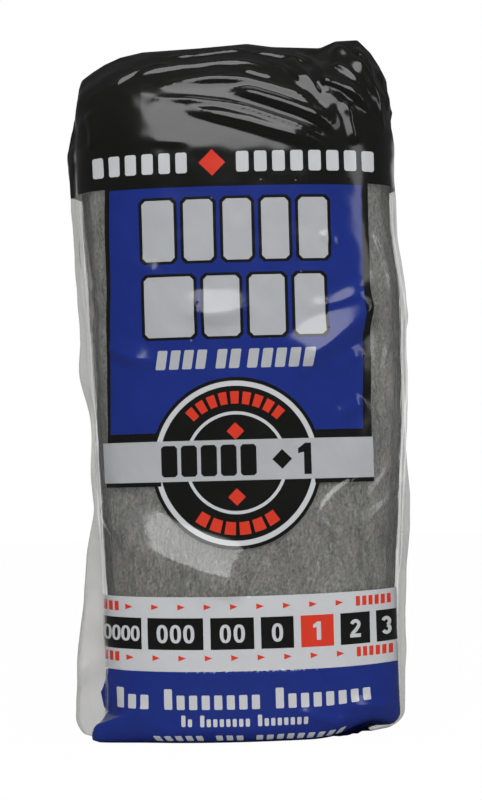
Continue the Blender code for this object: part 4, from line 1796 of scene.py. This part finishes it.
@dataclass(frozen=True)
class Studio:
    """Pale floor, one broad light over the front with a small one at its side, and the camera."""

    distance: float = 0.90
    camera_height: float = 0.085
    aim_height: float = 0.1114
    aim_x: float = 0.0008
    roll: float = 1.44
    lens: float = 121.2
    floor_reach: float = 3.0
    floor_near: float = 0.33
    floor_color: Color = (0.86, 0.86, 0.86)
    floor_mirrored: Color = (0.06, 0.06, 0.06)
    floor_glow: float = 0.985
    fill: float = 0.50
    gray: Color = (0.05, 0.05, 0.05)
    softboxes: Tuple[Softbox, ...] = (
        Softbox("front softbox", (0.0, -0.66), 0.92, 0.15, (0.92, 1.35), 9.6),
        Softbox("right softbox", (0.90, -0.45), 0.45, 0.12, (0.22, 0.60), 0.6),
    )

    def camera(self) -> None:
        """Place the camera at the photograph's angle."""
        data = bpy.data.cameras.new("camera")
        data.sensor_fit = "VERTICAL"
        data.sensor_height = 36.0
        data.lens = self.lens
        data.clip_start = 0.01
        place = Vector((self.aim_x, -self.distance, self.camera_height))
        look = (Vector((self.aim_x, 0.0, self.aim_height)) - place).normalized()
        tilt = math.radians(self.roll)
        side = look.cross(Vector((math.sin(tilt), 0.0, math.cos(tilt)))).normalized()
        turned = Matrix((side, side.cross(look), -look)).transposed().to_4x4()
        turned.translation = place
        view = linked("camera", data)
        view.matrix_world = turned
        bpy.context.scene.camera = view

    def world(self) -> None:
        """Soft fill, and mirrored surroundings that are white behind the object and gray elsewhere."""
        world = bpy.data.worlds.new("white studio")
        bpy.context.scene.world = world
        graph = Graph(world)
        place = graph.node("TexCoord", outlet="Generated")
        front = graph.node("SeparateXYZ", {}, {0: place}, "Y")
        above = graph.node("SeparateXYZ", {}, {0: place}, "Z")
        mirrored = 1.0 - graph.node("LightPath", outlet="Is Camera Ray")
        is_front = ((0.95 - front) * 8.0).clamp() * mirrored
        is_above = ((above - 0.04) * 10.0).clamp() * mirrored
        color = graph.mix_color(is_above, WHITE, (*self.gray, 1.0))
        color = graph.mix_color(is_front, color, (*self.gray, 1.0))
        seen = self.background_rays(graph)
        shown = graph.node("Background", {}, {"Color": color, "Strength": 1.0})
        lit = graph.node("Background", {}, {"Color": WHITE, "Strength": self.fill})
        graph.node("OutputWorld", {}, {"Surface": graph.mix_shader(seen, lit, shown)})

    @staticmethod
    def background_rays(graph: Graph) -> Link:
        """1 for the rays that see the background: camera, glossy and transmission rays."""
        names = ("Is Camera Ray", "Is Glossy Ray", "Is Transmission Ray")
        camera, glossy, through = (graph.node("LightPath", outlet=name) for name in names)
        return camera.math("MAXIMUM", glossy).math("MAXIMUM", through)

    def floor(self) -> None:
        """Lay the pale floor, which keeps a faint shadow."""
        mesh = bpy.data.meshes.new("floor")
        side, near, far = self.floor_reach, self.floor_near, self.floor_reach
        corners = [(-side, -near, 0.0), (side, -near, 0.0), (side, far, 0.0), (-side, far, 0.0)]
        mesh.from_pydata(corners, [], [(0, 1, 2, 3)])
        graph = Graph.of_material("white floor")
        place = graph.node("NewGeometry", outlet="Position")
        across = graph.node("SeparateXYZ", {}, {"Vector": place}, outlet="X")
        depth = graph.node("SeparateXYZ", {}, {"Vector": place}, outlet="Y")
        mirrored = graph.node("LightPath", outlet="Is Glossy Ray")
        before = ((2.0 * across.math("ABSOLUTE") - depth) * 20.0 + 1.0).clamp() * mirrored
        color = graph.mix_color(before, (*self.floor_color, 1.0), (*self.floor_mirrored, 1.0))
        seen = self.background_rays(graph) * (1.0 - before)
        matt = graph.principled(Base_Color=color, Roughness=0.8, Specular_IOR_Level=0.1)
        white = graph.node("Emission", {}, {"Color": WHITE, "Strength": 1.0})
        mesh.materials.append(graph.finish(graph.mix_shader(seen * self.floor_glow, matt, white)))
        linked("floor", mesh)

    def build(self) -> None:
        """Set up the whole studio."""
        bpy.context.scene.view_settings.view_transform = "Standard"
        self.floor()
        self.world()
        for softbox in self.softboxes:
            softbox.hang()
        self.camera()


@dataclass(frozen=True)
class WoolBag:
    """The whole object: film over a stack of pads."""

    form: BagForm = BagForm()
    artwork: Artwork = Artwork()
    folds: Folds = Folds()
    inks: Tuple[InkFinish, ...] = (
        InkFinish("black print", (0.0070, 0.0075, 0.0065), (0.0045, 0.0050, 0.0042)),
        InkFinish("blue print", (0.0100, 0.0270, 0.2150), (0.0075, 0.0210, 0.1700)),
        InkFinish("silver print", (0.4300, 0.4450, 0.4600), (0.3600, 0.3720, 0.3850), 0.24),
        InkFinish("white print", (0.5500, 0.5600, 0.5750), (0.4900, 0.5000, 0.5150), 0.20),
        InkFinish("red print", (0.6600, 0.0400, 0.0170), (0.5600, 0.0320, 0.0130), 0.20),
    )

    frost: ClearFinish = ClearFinish(
        "folded film", 0.40, 0.14, (0.40, 0.395, 0.37), layers=0.8, most_shine=0.12, polish=0.25
    )

    def build(self) -> None:
        """Make every piece and tie it to the solid that it dresses."""
        finishes = [ClearFinish().material()]
        finishes += [ink.material() for ink in self.inks] + [self.frost.material()]
        film_bag = FilmBag(self.form, self.artwork, self.folds)
        film = film_bag.build(finishes)
        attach(film, BODY)
        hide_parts("film_bag")
        felt, steel = WoolFinish().material(), FibreFinish().material()
        for number in range(self.form.pad_count):
            pad = WoolPad(self.form, film_bag.surface.slide, number=number).build(felt, steel)
            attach(pad, BODY)
            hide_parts(f"wool_pad_{number + 1:02d}")


def main() -> None:
    """Build the object and the studio."""
    logging.basicConfig(level=logging.INFO, format="%(name)s: %(message)s")
    WoolBag().build()
    Studio().build()


if __name__ == "__main__":
    main()
